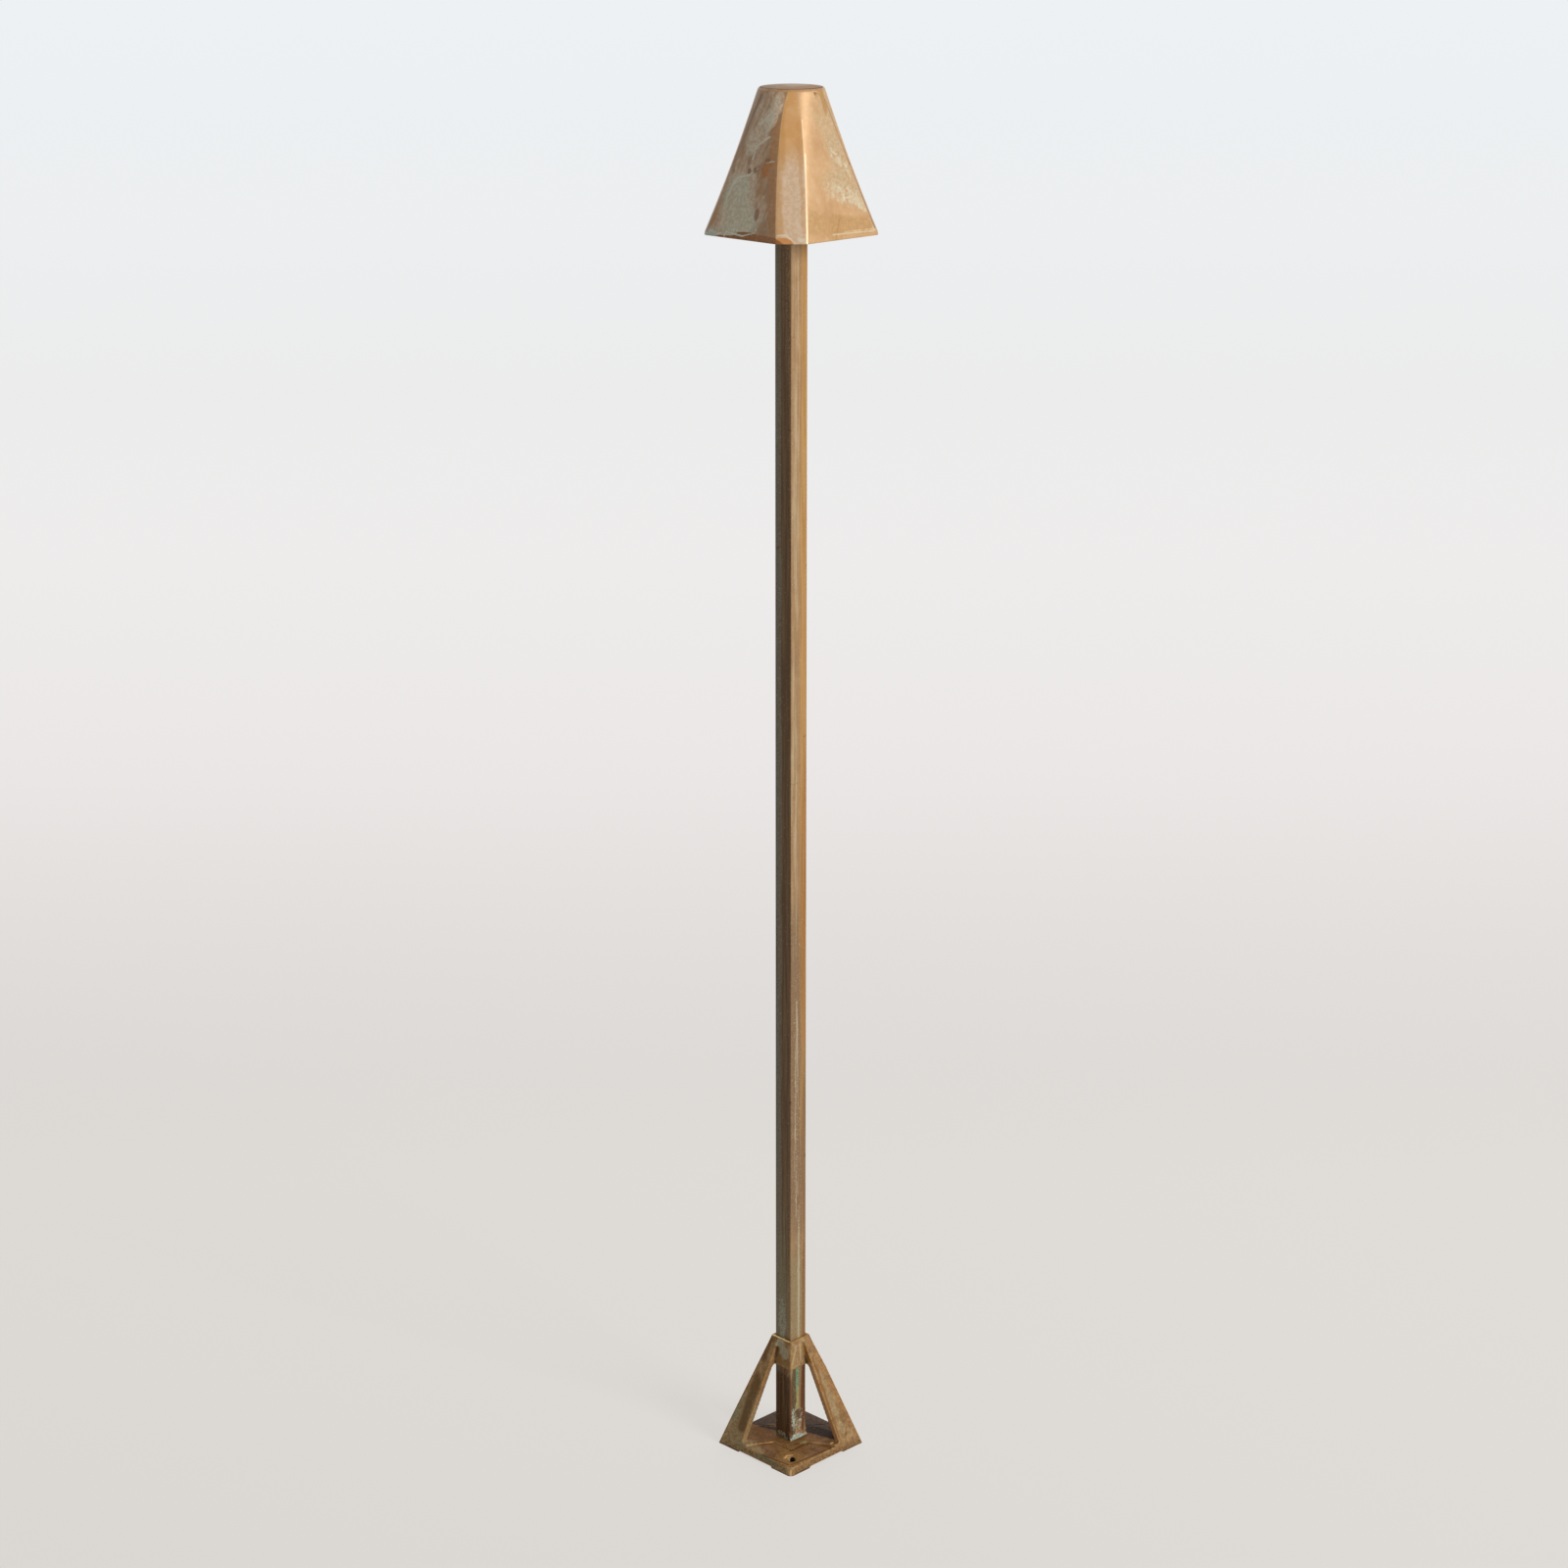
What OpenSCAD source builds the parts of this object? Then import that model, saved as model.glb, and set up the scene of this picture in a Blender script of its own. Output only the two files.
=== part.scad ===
// Path light: a two-legged cast foot, a square post and a lift-off hood over a bi-pin lamp.
// Millimetres, +Z up, origin on the ground at the centre of the foot. The post's faces lie along
// X and Y. The legs stand on the (-X, -Y) and (+X, +Y) corners of the plate.

/* [Foot] */
// Side of the foot, measured on the ground
foot_w = 76.2; // [70:0.1:90]
// Height of the foot, from the ground to the top of its collar
foot_h = 90; // [80:1:110]
// Thickness of the plate at its rim
plate_t = 6.1; // [5.6:0.1:8]
// Rounding of the foot's sloping corners
foot_corner_r = 2.2; // [1:0.1:4]
// Height of the band and boss above the plate
boss_rise = 1.2; // [0.6:0.1:3]
// Side of the square boss round the post
boss_w = 33.4; // [26:0.2:38]
// Half width of the band where it meets the boss
band_half = 11.7; // [8:0.1:14]
// Half width of the band at the legs
band_foot_half = 18; // [15:0.1:19]
// Relief under the plate between the corner pads
pad_h = 0.8; // [0.4:0.1:1.4]
// Length of a corner pad along the plate's edge
pad_l = 20.7; // [12:0.1:26]
// Width of a leg's side at the plate
leg_foot_w = 20; // [14:0.1:24]
// Width of a leg's side at the top of the collar
leg_top_w = 7.3; // [5:0.1:9]
// Thickness of a leg's side
leg_t = 4.8; // [3:0.1:6]
// Height of the collar
collar_h = 23; // [16:0.5:34]
// Wall of the collar round the post
collar_wall = 2.2; // [2:0.1:4]
// Rounding under the collar, between the legs
arch_r = 3; // [1:0.1:5]

/* [Screw holes] */
// Distance of each hole from the plate's two edges
hole_inset = 12.1; // [11:0.1:14]
// Diameter of a hole
hole_d = 5; // [4:0.1:5.5]
// Diameter of the countersink's mouth
hole_head_d = 9.4; // [8:0.1:10.4]

/* [Post] */
// Side of the square post
post_w = 15.875; // [15:0.005:17]
// Wall of the post
post_wall = 1.5; // [1.2:0.1:2]
// Rounding of the post's corners
post_corner_r = 0.7; // [0.3:0.1:1.2]
// Height of the post's top above the ground
post_top = 938; // [700:1:1200]
// Depth of the post's seat in the boss
post_seat = 2.7; // [1.5:0.1:3.4]
// Gap on each side between the post and what it fits
post_gap = 0.1; // [0.05:0.05:0.2]

/* [Hood] */
// Height of the hood
hood_h = 97.5; // [90:0.5:110]
// Drop from the top of the hood to the top of the post
hood_drop = 68; // [66:0.5:74]
// Wall of the hood
hood_wall = 2.6; // [2:0.1:3.2]
// Thickness of the hood's roof
roof_t = 3; // [2:0.1:4]
// Rounding between the flat round top and the sides
shoulder_r = 3.7; // [2:0.1:5]
// Half width of the main faces at the top
face_top = 22.2; // [22:0.1:24]
// Spread of the main faces for each millimetre down
face_slope = 0.275; // [0.25:0.005:0.3]
// Distance of the corner facets from the axis at the top
facet_top = 22.2; // [22:0.1:24]
// Spread of the corner facets at the top, for each millimetre down
facet_slope = 0.325; // [0.31:0.005:0.34]
// Extra spread of the corner facets over the whole height
facet_flare = 5; // [0:0.1:7]
// Half width of the corner facets below their arched tops
facet_half = 9.9; // [9:0.1:10.4]
// Depth below the top at which the facets reach that width
arch_reach = 69; // [55:1:80]

/* [Hood studs] */
// Distance between the two studs
stud_spacing = 30; // [29.5:0.5:32]
// Diameter of a stud
stud_d = 4; // [3:0.5:4]
// Length of thread below the thumb nut
stud_tail = 5; // [2:0.5:9]
// Depth of a stud in its boss
stud_seat = 7; // [4:0.5:9]
// Diameter of a boss under the roof
stud_boss_d = 9; // [7:0.5:9]
// Height of a boss under the roof
stud_boss_h = 10; // [9:0.5:12]
// Thickness of the web between a boss and the wall
stud_web_t = 3; // [2:0.5:5]
// Width across the flats of a jam nut
jam_w = 7; // [6:0.1:7.5]
// Height of a jam nut
jam_h = 3.2; // [2:0.1:4]
// Diameter of a thumb nut
thumb_d = 11; // [9:0.2:12]
// Height of a thumb nut
thumb_h = 7; // [5:0.5:9]
// Number of ridges round a thumb nut
thumb_ridges = 20; // [12:1:28]

/* [Hub] */
// Thickness of the hub's flange
hub_t = 5; // [3:0.5:7]
// Diameter of the flange round the post
hub_d = 26; // [26:0.5:28]
// Diameter of the flange's ears
ear_d = 13; // [11:0.5:14]
// Length of the spigot in the post
spigot_h = 18; // [12:1:30]
// Diameter of the wire hole through the hub
hub_bore_d = 8; // [7:0.2:8.4]
// Height of the seat for the socket
seat_h = 2; // [1:0.5:3]
// Diameter of a hub screw
hub_screw_d = 3; // [2.5:0.5:4]
// Length of a hub screw below its head
hub_screw_l = 3.8; // [3:0.1:3.8]

/* [Lamp] */
// Length of the socket
socket_l = 22; // [21:0.5:24]
// Width of the socket
socket_w = 11; // [9:0.5:12]
// Height of the socket
socket_h = 10; // [8:0.5:12]
// Distance between the lamp's pins
pin_spacing = 4; // [4:0.1:4.4]
// Diameter of a pin
pin_d = 0.7; // [0.6:0.05:0.8]
// Length of a pin below the glass
pin_l = 7.5; // [5:0.5:8]
// Diameter of the glass capsule
capsule_d = 9.5; // [8.8:0.1:11]
// Length of the glass capsule
capsule_l = 31; // [26:1:33]
// Wall of the glass capsule
capsule_wall = 0.8; // [0.5:0.1:1.2]
// Height of the flattened seal at the foot of the capsule
seal_h = 8; // [6:0.5:9]
// Diameter of the filament's coil
coil_d = 1.4; // [1:0.1:1.8]
// Turns of the filament's coil
coil_turns = 5; // [4:1:7]
// Thickness of the filament and its supports
filament_d = 0.3; // [0.2:0.05:0.4]

/* [Wiring] */
// Diameter of a lead wire
lead_d = 2.2; // [1.6:0.1:2.4]
// Width of the terminal block
block_w = 11; // [10:0.2:11.4]
// Depth of the terminal block
block_d = 8.4; // [8:0.2:10]
// Height of the terminal block
block_h = 18; // [14:1:24]
// Height of the terminal block's foot above the ground
block_z = 26; // [20:1:60]
// Diameter of the cable hole in the grommet
cable_d = 6.5; // [5:0.1:7]
// Wall of the grommet
grommet_wall = 1.2; // [1:0.1:1.6]
// Lip of the grommet beyond its neck
grommet_lip = 1.2; // [0.8:0.1:1.4]
// Diameter of the recess under the floor
recess_d = 24; // [18:0.5:28]
// Thickness of the foot's floor below the post
floor_t = 2.3; // [1.6:0.1:2.6]
// Diameter of a set screw
set_screw_d = 4; // [3:0.5:5]
// Height of the set screws above the collar's lower edge
set_screw_rise = 10; // [7:0.5:14]

/* [Hidden] */
$fn = 48;

// Clearances
running_gap = 0.1;
rest_gap = 0.3;
bore_gap = 0.1;
// An overshoot that lets a cut pass clear of a face
cut = 1;

// Foot
collar_w = post_w + 2 * post_gap + 2 * collar_wall;
// Depth below the collar's top at which the legs run into it
leg_drop = 1;
foot_slope = (foot_w - collar_w) / 2 / (foot_h - leg_drop);
collar_corner_r = 1;
corner_step = 15;
collar_z = foot_h - collar_h;
boss_z = plate_t + boss_rise;
leg_taper = (leg_foot_w - leg_top_w) / (foot_h - plate_t);
seat_z = boss_z - post_seat;
recess_z = seat_z - floor_t;
hole_pos = foot_w / 2 - hole_inset;
hole_cone_h = (hole_head_d - hole_d) / 2 / tan(41);
set_screw_z = collar_z + set_screw_rise;
set_screw_proud = 0.6;
set_screw_l = collar_wall + post_gap + set_screw_proud;
set_screw_key = 2;

// Post and hub
post_bore = post_w - 2 * post_wall;
spigot_w = post_bore - 2 * post_gap;
ear_top = post_top + hub_t;
socket_z = ear_top + seat_h;
hub_screw_z = post_top - spigot_h / 2;
hub_screw_head_d = 1.9 * hub_screw_d;
hub_screw_head_h = 0.6 * hub_screw_d;

// Hood
hood_top = post_top + hood_drop;
hood_rim = hood_top - hood_h;
roof_z = hood_top - roof_t;
stud_x = stud_spacing / 2;
boss_bottom = roof_z - stud_boss_h;
stud_top = boss_bottom + stud_seat;
thumb_z = post_top - thumb_h;
thumb_step = 1.5;
ridge_h = 0.45;
stud_bottom = thumb_z - stud_tail;
round_steps = 9;
facet_steps = 8;
hood_inset = hood_wall * sqrt(1 + facet_slope * facet_slope);

// Socket and lamp
seat_edge = 1;
socket_floor = socket_h / 2;
socket_screw_z = post_top + 1;
socket_screw_head_h = 1.5;
slot_w = 0.7;
slot_h = 0.7;
socket_screw_y = (socket_l - socket_w) / 2 + 2;
socket_screw_d = 2.5;
socket_screw_head_d = 4.4;
contact_wall = 0.45;
contact_d = pin_d + 2 * bore_gap + 2 * contact_wall;
contact_tail = socket_z - hub_t;
lamp_z = socket_z + socket_h + rest_gap;
seal_w = 0.9 * capsule_d;
seal_t = 3.4;
pin_seat = 4;
bulb_z = lamp_z + seal_h;
bulb_top = lamp_z + capsule_l;
coil_z = (bulb_z + bulb_top) / 2 - 1;
coil_l = pin_spacing;
support_z = bulb_z - 2;

// Wiring
lead_x = pin_spacing / 2;
lead_top = contact_tail;
block_top = block_z + block_h;
lead_seat = 5;
lead_foot = block_top - lead_seat;
sleeve_d = lead_d + 1;
sleeve_z = block_z + 4;
conductor_d = lead_d - 0.4;
terminal_screw_d = 2;
grommet_neck_d = cable_d + 2 * grommet_wall;
grommet_lip_d = grommet_neck_d + 2 * grommet_lip;
grommet_lip_h = 1;

// Half the side of the pyramid at height z
function foot_half(z) = foot_w / 2 - foot_slope * z;
// Distance from the axis, on the ground, of the pyramid's side that faces the angle a
function foot_reach(a) =
    let (t = a % 90) (foot_w / 2 - foot_corner_r) * (cos(t) + sin(t)) + foot_corner_r;
// Width of a leg's side at height z
function leg_w(z) = leg_top_w + leg_taper * (foot_h - z);
// Where a leg's side ends at height z, seen along X or Y
function leg_edge(z) = leg_w(z) - foot_half(z);
// Half the width of the hollow between the legs' sides
function hollow_half(z) = foot_half(z) - leg_t * sqrt(1 + foot_slope * foot_slope);
// Points of an arc about c, from angle a to b
function arc(c, r, a, b, n) =
    [for (i = [0:n]) let (t = a + (b - a) * i / n) c + r * [cos(t), sin(t)]];

// Distance of the main faces from the axis, d below the top
function face_dist(d) = face_top + face_slope * d;
// Distance of the corner facets from the axis, d below the top
function facet_dist(d) = facet_top + facet_slope * d + facet_flare * pow(d / hood_h, 2);
// Half width of an arched facet, d below the top: a quarter of an ellipse, then straight
function arch_half(d) = facet_half * sqrt(1 - pow(1 - min(d, arch_reach) / arch_reach, 2));
// Radius of the round corners, d below the top: it meets the facets at that half width
function round_dist(d) = norm([facet_dist(d), arch_half(d)]);
// Kinds of surface that side_points follows
MAIN = 0;
FACET = 1;
ROUND = 2;
function side_dist(kind, d) = kind == MAIN ? face_dist(d) : kind == FACET ? facet_dist(d) : round_dist(d);
// Points down a surface from depth a to b, set in by the wall
function side_points(kind, inset, a, b, n) =
    [for (i = [0:n]) let (d = a + (b - a) * i / n) [side_dist(kind, d) - inset, -d]];
// The same line mirrored into a closed outline
function mirrored(points) =
    concat(points, [for (i = [len(points) - 1:-1:0]) [-points[i][0], points[i][1]]]);

// Copies at X = a and X = -a
module pair_x(a) {
    for (s = [-1, 1]) translate([s * a, 0, 0]) children();
}

// Copies at Y = a and Y = -a
module pair_y(a) {
    for (s = [-1, 1]) translate([0, s * a, 0]) children();
}

// A square of side w with round corners
module round_square(w, r) {
    union() {
        square([w, w - 2 * r], center = true);
        square([w - 2 * r, w], center = true);
        for (x = [-1, 1], y = [-1, 1]) translate([x, y] * (w / 2 - r)) circle(r = r);
    }
}

// A slot shape of length l along Y and width w
module slot_shape(l, w) {
    square([w, l - w], center = true);
    pair_y((l - w) / 2) circle(d = w);
}

// Extrudes an outline in X and Z along Y, centred
module along_y(l) {
    rotate([90, 0, 0]) translate([0, 0, -l / 2]) linear_extrude(l) children();
}

// Extrudes an outline in Y and Z along X, centred
module along_x(l) {
    rotate([0, 0, 90]) along_y(l) children();
}

// Base casting

// The whole pyramid. Small planes, corner_step apart, round its sloping corners.
module foot_pyramid() {
    intersection_for (a = [0:corner_step:180 - corner_step]) {
        over = a == 0 ? 0 : cut;
        rotate(a) along_y(3 * foot_w) polygon(mirrored([
            for (z = [foot_h + over, -over]) [foot_reach(a) * foot_half(z) / foot_half(0), z]
        ]));
    }
}

// Outline of the hollow between the legs, with an arch under the collar
module hollow_outline() {
    slant = atan(foot_slope);
    arch_x = hollow_half(collar_z - arch_r * (1 - sin(slant))) - arch_r * cos(slant);
    side = arc([arch_x, collar_z - arch_r], arch_r, slant, 90, 6);
    polygon(mirrored(concat([[hollow_half(plate_t), plate_t]], side)));
}

// The hollow below the collar, square in plan
module foot_hollow() {
    intersection() {
        along_y(2 * foot_w) hollow_outline();
        along_x(2 * foot_w) hollow_outline();
    }
}

// Outline of all that lies on a leg's side of the window's edge
module leg_outline() {
    polygon([
        [-foot_w, -cut],
        [leg_edge(-cut), -cut],
        [leg_edge(foot_h + cut), foot_h + cut],
        [-foot_w, foot_h + cut]
    ]);
}

// The corner region that keeps the leg at (-X, -Y)
module leg_region() {
    intersection() {
        along_y(3 * foot_w) leg_outline();
        along_x(3 * foot_w) leg_outline();
    }
}

// The raised band from leg to leg, along the plate's diagonal
module band_outline() {
    near = boss_w / sqrt(2) - band_half;
    foot = (2 * foot_half(boss_z) - leg_foot_w) / sqrt(2);
    spread = (band_foot_half - band_half) / (foot - near);
    // From inside the boss to beyond the plate
    ends = [near / 2, foot_w];
    sides = [for (d = ends) [d, band_half + spread * (d - near)]];
    for (a = [45, 225]) rotate(a)
        polygon([sides[0], sides[1], [ends[1], -sides[1][1]], [ends[0], -sides[0][1]]]);
}

module screw_hole() {
    translate([0, 0, -cut]) cylinder(d = hole_d, h = plate_t + 2 * cut);
    translate([0, 0, plate_t - hole_cone_h]) cylinder(d1 = hole_d, d2 = hole_head_d, h = hole_cone_h);
    translate([0, 0, plate_t]) cylinder(d = hole_head_d, h = cut);
}

module plate_layers() {
    translate([-foot_w, -foot_w, 0]) cube([2 * foot_w, 2 * foot_w, plate_t]);
    linear_extrude(boss_z) square(boss_w, center = true);
    linear_extrude(boss_z) band_outline();
}

module legs() {
    for (a = [0, 180]) rotate(a) difference() {
        leg_region();
        foot_hollow();
    }
}

// Channels that leave a pad under each corner
module pad_relief() {
    relief_w = foot_w - 2 * pad_l;
    for (a = [0, 90]) rotate(a) translate([-relief_w / 2, -foot_w, -cut])
        cube([relief_w, 2 * foot_w, pad_h + cut]);
}

// Turns +Z to the collar's two rear faces, at the set screws' height
module set_screw_places() {
    for (turn = [[0, -90, 0], [-90, 0, 0]]) translate([0, 0, set_screw_z]) rotate(turn) children();
}

module base_casting() {
    color("#8a6a42") difference() {
        union() {
            intersection() {
                foot_pyramid();
                union() {
                    plate_layers();
                    legs();
                }
            }
            translate([0, 0, collar_z]) linear_extrude(collar_h)
                round_square(collar_w, collar_corner_r);
        }
        translate([0, 0, seat_z]) linear_extrude(foot_h)
            round_square(post_w + 2 * post_gap, post_corner_r);
        pad_relief();
        translate([0, 0, -cut]) cylinder(d = recess_d, h = recess_z + cut);
        translate([0, 0, recess_z - cut]) cylinder(d = grommet_neck_d, h = floor_t + 2 * cut);
        translate([0, 0, seat_z - grommet_lip_h]) cylinder(d = grommet_lip_d, h = grommet_lip_h + cut);
        for (a = [0, 180]) rotate(a) translate([hole_pos, -hole_pos, 0]) screw_hole();
        set_screw_places() cylinder(d = set_screw_d, h = collar_w);
    }
}

// Post and what holds it

module post() {
    color("#7d6a4e") difference() {
        translate([0, 0, seat_z]) linear_extrude(post_top - seat_z) difference() {
            round_square(post_w, post_corner_r);
            round_square(post_bore, post_corner_r / 2);
        }
        translate([0, 0, hub_screw_z]) rotate([90, 0, 0])
            cylinder(d = hub_screw_d + 2 * bore_gap, h = 2 * post_w, center = true);
    }
}

module post_set_screws() {
    color("#4c463c") set_screw_places() translate([0, 0, post_w / 2]) difference() {
        cylinder(d = set_screw_d, h = set_screw_l);
        translate([0, 0, set_screw_l / 2])
            cylinder(d = set_screw_key / cos(30), h = set_screw_l, $fn = 6);
    }
}

// Wiring

module wire_grommet() {
    color("#26241f") difference() {
        union() {
            for (z = [recess_z - grommet_lip_h, seat_z - grommet_lip_h])
                translate([0, 0, z]) cylinder(d = grommet_lip_d, h = grommet_lip_h);
            translate([0, 0, recess_z]) cylinder(d = grommet_neck_d, h = floor_t - grommet_lip_h);
        }
        translate([0, 0, recess_z - grommet_lip_h - cut])
            cylinder(d = cable_d, h = floor_t + grommet_lip_h + 2 * cut);
    }
}

module terminal_block() {
    color("#d8d4c4") difference() {
        translate([-block_w / 2, -block_d / 2, block_z]) cube([block_w, block_d, block_h]);
        pair_x(lead_x) {
            translate([0, 0, lead_foot]) cylinder(d = lead_d + 2 * bore_gap, h = lead_seat + cut);
            translate([0, 0, sleeve_z]) cylinder(d = sleeve_d, h = lead_foot - sleeve_z);
            translate([0, 0, block_z - cut]) cylinder(d = lead_d + 2 * bore_gap, h = block_h);
            terminal_screw_place() cylinder(d = terminal_screw_d, h = block_d);
        }
    }
}

// Turns +Z to the block's front, at the sleeve's side
module terminal_screw_place() {
    translate([0, -sleeve_d / 2, (sleeve_z + lead_foot) / 2]) rotate([90, 0, 0]) children();
}

module terminal_sleeves() {
    color("#b8954e") pair_x(lead_x) translate([0, 0, sleeve_z]) difference() {
        cylinder(d = sleeve_d, h = lead_foot - sleeve_z);
        translate([0, 0, -cut]) cylinder(d = conductor_d, h = block_h);
    }
}

module terminal_screws() {
    screw_l = (block_d - sleeve_d) / 2;
    color("#a7a29a") pair_x(lead_x) terminal_screw_place() difference() {
        cylinder(d = terminal_screw_d, h = screw_l);
        translate([-terminal_screw_d, -slot_w / 2, screw_l - slot_h])
            cube([2 * terminal_screw_d, slot_w, slot_h + cut]);
    }
}

module lead_wire(side) {
    translate([side * lead_x, 0, lead_foot]) cylinder(d = lead_d, h = lead_top - lead_foot);
}

module lead_wire_brown() {
    color("#5c3a24") lead_wire(1);
}

module lead_wire_blue() {
    color("#2f4f7c") lead_wire(-1);
}

// Hub

module lamp_hub() {
    color("#8f6f45") difference() {
        union() {
            translate([0, 0, post_top - spigot_h]) linear_extrude(spigot_h)
                round_square(spigot_w, post_corner_r);
            translate([0, 0, post_top]) linear_extrude(hub_t) {
                circle(d = hub_d);
                rotate(90) slot_shape(stud_spacing + ear_d, ear_d);
            }
            translate([0, 0, ear_top]) linear_extrude(seat_h)
                slot_shape(socket_l + 2 * seat_edge, socket_w + 2 * seat_edge);
        }
        translate([0, 0, post_top - spigot_h - cut])
            cylinder(d = hub_bore_d, h = spigot_h + hub_t + seat_h + 2 * cut);
        pair_x(stud_x) translate([0, 0, post_top - cut])
            cylinder(d = stud_d + 2 * running_gap, h = hub_t + 2 * cut);
        translate([0, 0, hub_screw_z]) rotate([90, 0, 0])
            cylinder(d = hub_screw_d, h = 2 * post_w, center = true);
        pair_y(socket_screw_y) translate([0, 0, socket_screw_z])
            cylinder(d = socket_screw_d, h = hub_t + 2 * seat_h);
    }
}

module hub_screws() {
    color("#4c463c") for (a = [-90, 90]) translate([0, 0, hub_screw_z]) rotate([a, 0, 0]) difference() {
        union() {
            translate([0, 0, post_w / 2 - hub_screw_l]) cylinder(d = hub_screw_d, h = hub_screw_l);
            translate([0, 0, post_w / 2]) cylinder(d = hub_screw_head_d, h = hub_screw_head_h);
        }
        translate([-post_w, -slot_w / 2, post_w / 2 + hub_screw_head_h - slot_h])
            cube([2 * post_w, slot_w, slot_h + cut]);
    }
}

// Lamp and socket

module lamp_socket() {
    color("#e6e0d0") translate([0, 0, socket_z]) difference() {
        linear_extrude(socket_h) slot_shape(socket_l, socket_w);
        pair_x(lead_x) translate([0, 0, -cut]) cylinder(d = contact_d, h = socket_h + 2 * cut);
        pair_y(socket_screw_y) {
            translate([0, 0, -cut])
                cylinder(d = socket_screw_d + 2 * bore_gap, h = socket_h + 2 * cut);
            translate([0, 0, socket_floor])
                cylinder(d = socket_screw_head_d + 4 * bore_gap, h = socket_h);
        }
    }
}

module socket_contacts() {
    color("#b8954e") pair_x(lead_x) difference() {
        translate([0, 0, contact_tail]) cylinder(d = contact_d, h = socket_z + socket_h - contact_tail);
        translate([0, 0, lamp_z - pin_l - rest_gap])
            cylinder(d = pin_d + 2 * bore_gap, h = pin_l + cut);
    }
}

module socket_screws() {
    color("#a7a29a") pair_y(socket_screw_y) difference() {
        union() {
            translate([0, 0, socket_screw_z])
                cylinder(d = socket_screw_d, h = socket_z + socket_floor - socket_screw_z);
            translate([0, 0, socket_z + socket_floor])
                cylinder(d = socket_screw_head_d, h = socket_screw_head_h);
        }
        translate([-socket_w, -slot_w / 2, socket_z + socket_floor + socket_screw_head_h - slot_h])
            cube([2 * socket_w, slot_w, slot_h + cut]);
    }
}

module lamp_capsule() {
    color("#dfe6e4", 0.4) difference() {
        union() {
            translate([-seal_w / 2, -seal_t / 2, lamp_z]) cube([seal_w, seal_t, seal_h + capsule_wall]);
            capsule_form(capsule_d, bulb_z);
        }
        capsule_form(capsule_d - 2 * capsule_wall, bulb_z + capsule_wall);
        pair_x(lead_x) translate([0, 0, lamp_z - cut]) cylinder(d = pin_d, h = pin_seat + cut);
        pair_x(coil_l / 2) translate([0, 0, support_z]) cylinder(d = filament_d, h = seal_h, $fn = 16);
    }
}

// A cylinder of diameter d from height z, with its dome about the capsule's own centre
module capsule_form(d, z) {
    top = bulb_top - capsule_d / 2;
    translate([0, 0, z]) cylinder(d = d, h = top - z);
    translate([0, 0, top]) sphere(d = d);
}

// Centre line of the coil, which runs along X
function coil_point(i, n) = [
    coil_l * (i / n - 0.5),
    coil_d / 2 * sin(360 * coil_turns * i / n),
    coil_z + coil_d / 2 * (1 - cos(360 * coil_turns * i / n))
];

module lamp_filament() {
    rings = 8 * coil_turns;
    sides = 6;
    pitch = coil_l / coil_turns;
    lean = atan(pitch / (PI * coil_d));
    points = [for (i = [0:rings], k = [0:sides - 1]) let (
        t = 360 * coil_turns * i / rings,
        out = [0, sin(t), -cos(t)],
        side = [cos(lean), -sin(lean) * cos(t), -sin(lean) * sin(t)]
    ) coil_point(i, rings) + filament_d / 2 * (cos(60 * k) * out + sin(60 * k) * side)];
    faces = concat(
        [[for (k = [sides - 1:-1:0]) k]],
        [for (i = [0:rings - 1], k = [0:sides - 1])
            let (a = i * sides + k, b = i * sides + (k + 1) % sides)
            each [[a, b, a + sides], [b, b + sides, a + sides]]],
        [[for (k = [0:sides - 1]) rings * sides + k]]
    );
    color("#8f8f92") {
        polyhedron(points, faces);
        pair_x(coil_l / 2) translate([0, 0, support_z])
            cylinder(d = filament_d, h = coil_z - support_z, $fn = 16);
    }
}

module lamp_pins() {
    color("#b9b9b9") pair_x(lead_x) translate([0, 0, lamp_z - pin_l])
        cylinder(d = pin_d, h = pin_l + pin_seat);
}

// Hood

// Outline of the round corners, from the axis, with the shoulder below the flat top
function round_outline() = let (
    slant = atan((round_dist(shoulder_r) - round_dist(0)) / shoulder_r),
    drop = shoulder_r * (1 - sin(slant)),
    flat = round_dist(drop) - shoulder_r * cos(slant)
) concat(
    [[0, 0]],
    arc([flat, -shoulder_r], shoulder_r, 90, slant, 5),
    side_points(ROUND, 0, drop + cut, hood_h, round_steps),
    [[0, -hood_h]]
);

// The hood's solid form: round corners cut by four main faces and four corner facets
module hood_form() {
    translate([0, 0, hood_top]) intersection() {
        rotate_extrude($fn = 96) polygon(round_outline());
        intersection_for (a = [0, 90]) rotate(a) along_y(3 * foot_w)
            polygon(mirrored(side_points(MAIN, 0, -cut, hood_h + cut, 1)));
        intersection_for (a = [45, 135]) rotate(a) along_y(3 * foot_w)
            polygon(mirrored(side_points(FACET, 0, -cut, hood_h + cut, facet_steps)));
    }
}

// The hollow inside, one wall smaller, carried on past the rim
module hood_hollow() {
    deep = hood_h + cut;
    translate([0, 0, hood_top]) intersection() {
        rotate_extrude($fn = 96) polygon(concat(
            [[0, -roof_t]],
            side_points(ROUND, hood_inset, roof_t, deep, round_steps),
            [[0, -deep]]
        ));
        intersection_for (a = [0, 90]) rotate(a) along_y(3 * foot_w)
            polygon(mirrored(side_points(MAIN, hood_inset, 0, deep + cut, 1)));
        intersection_for (a = [45, 135]) rotate(a) along_y(3 * foot_w)
            polygon(mirrored(side_points(FACET, hood_inset, 0, deep + cut, facet_steps)));
    }
}

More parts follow.
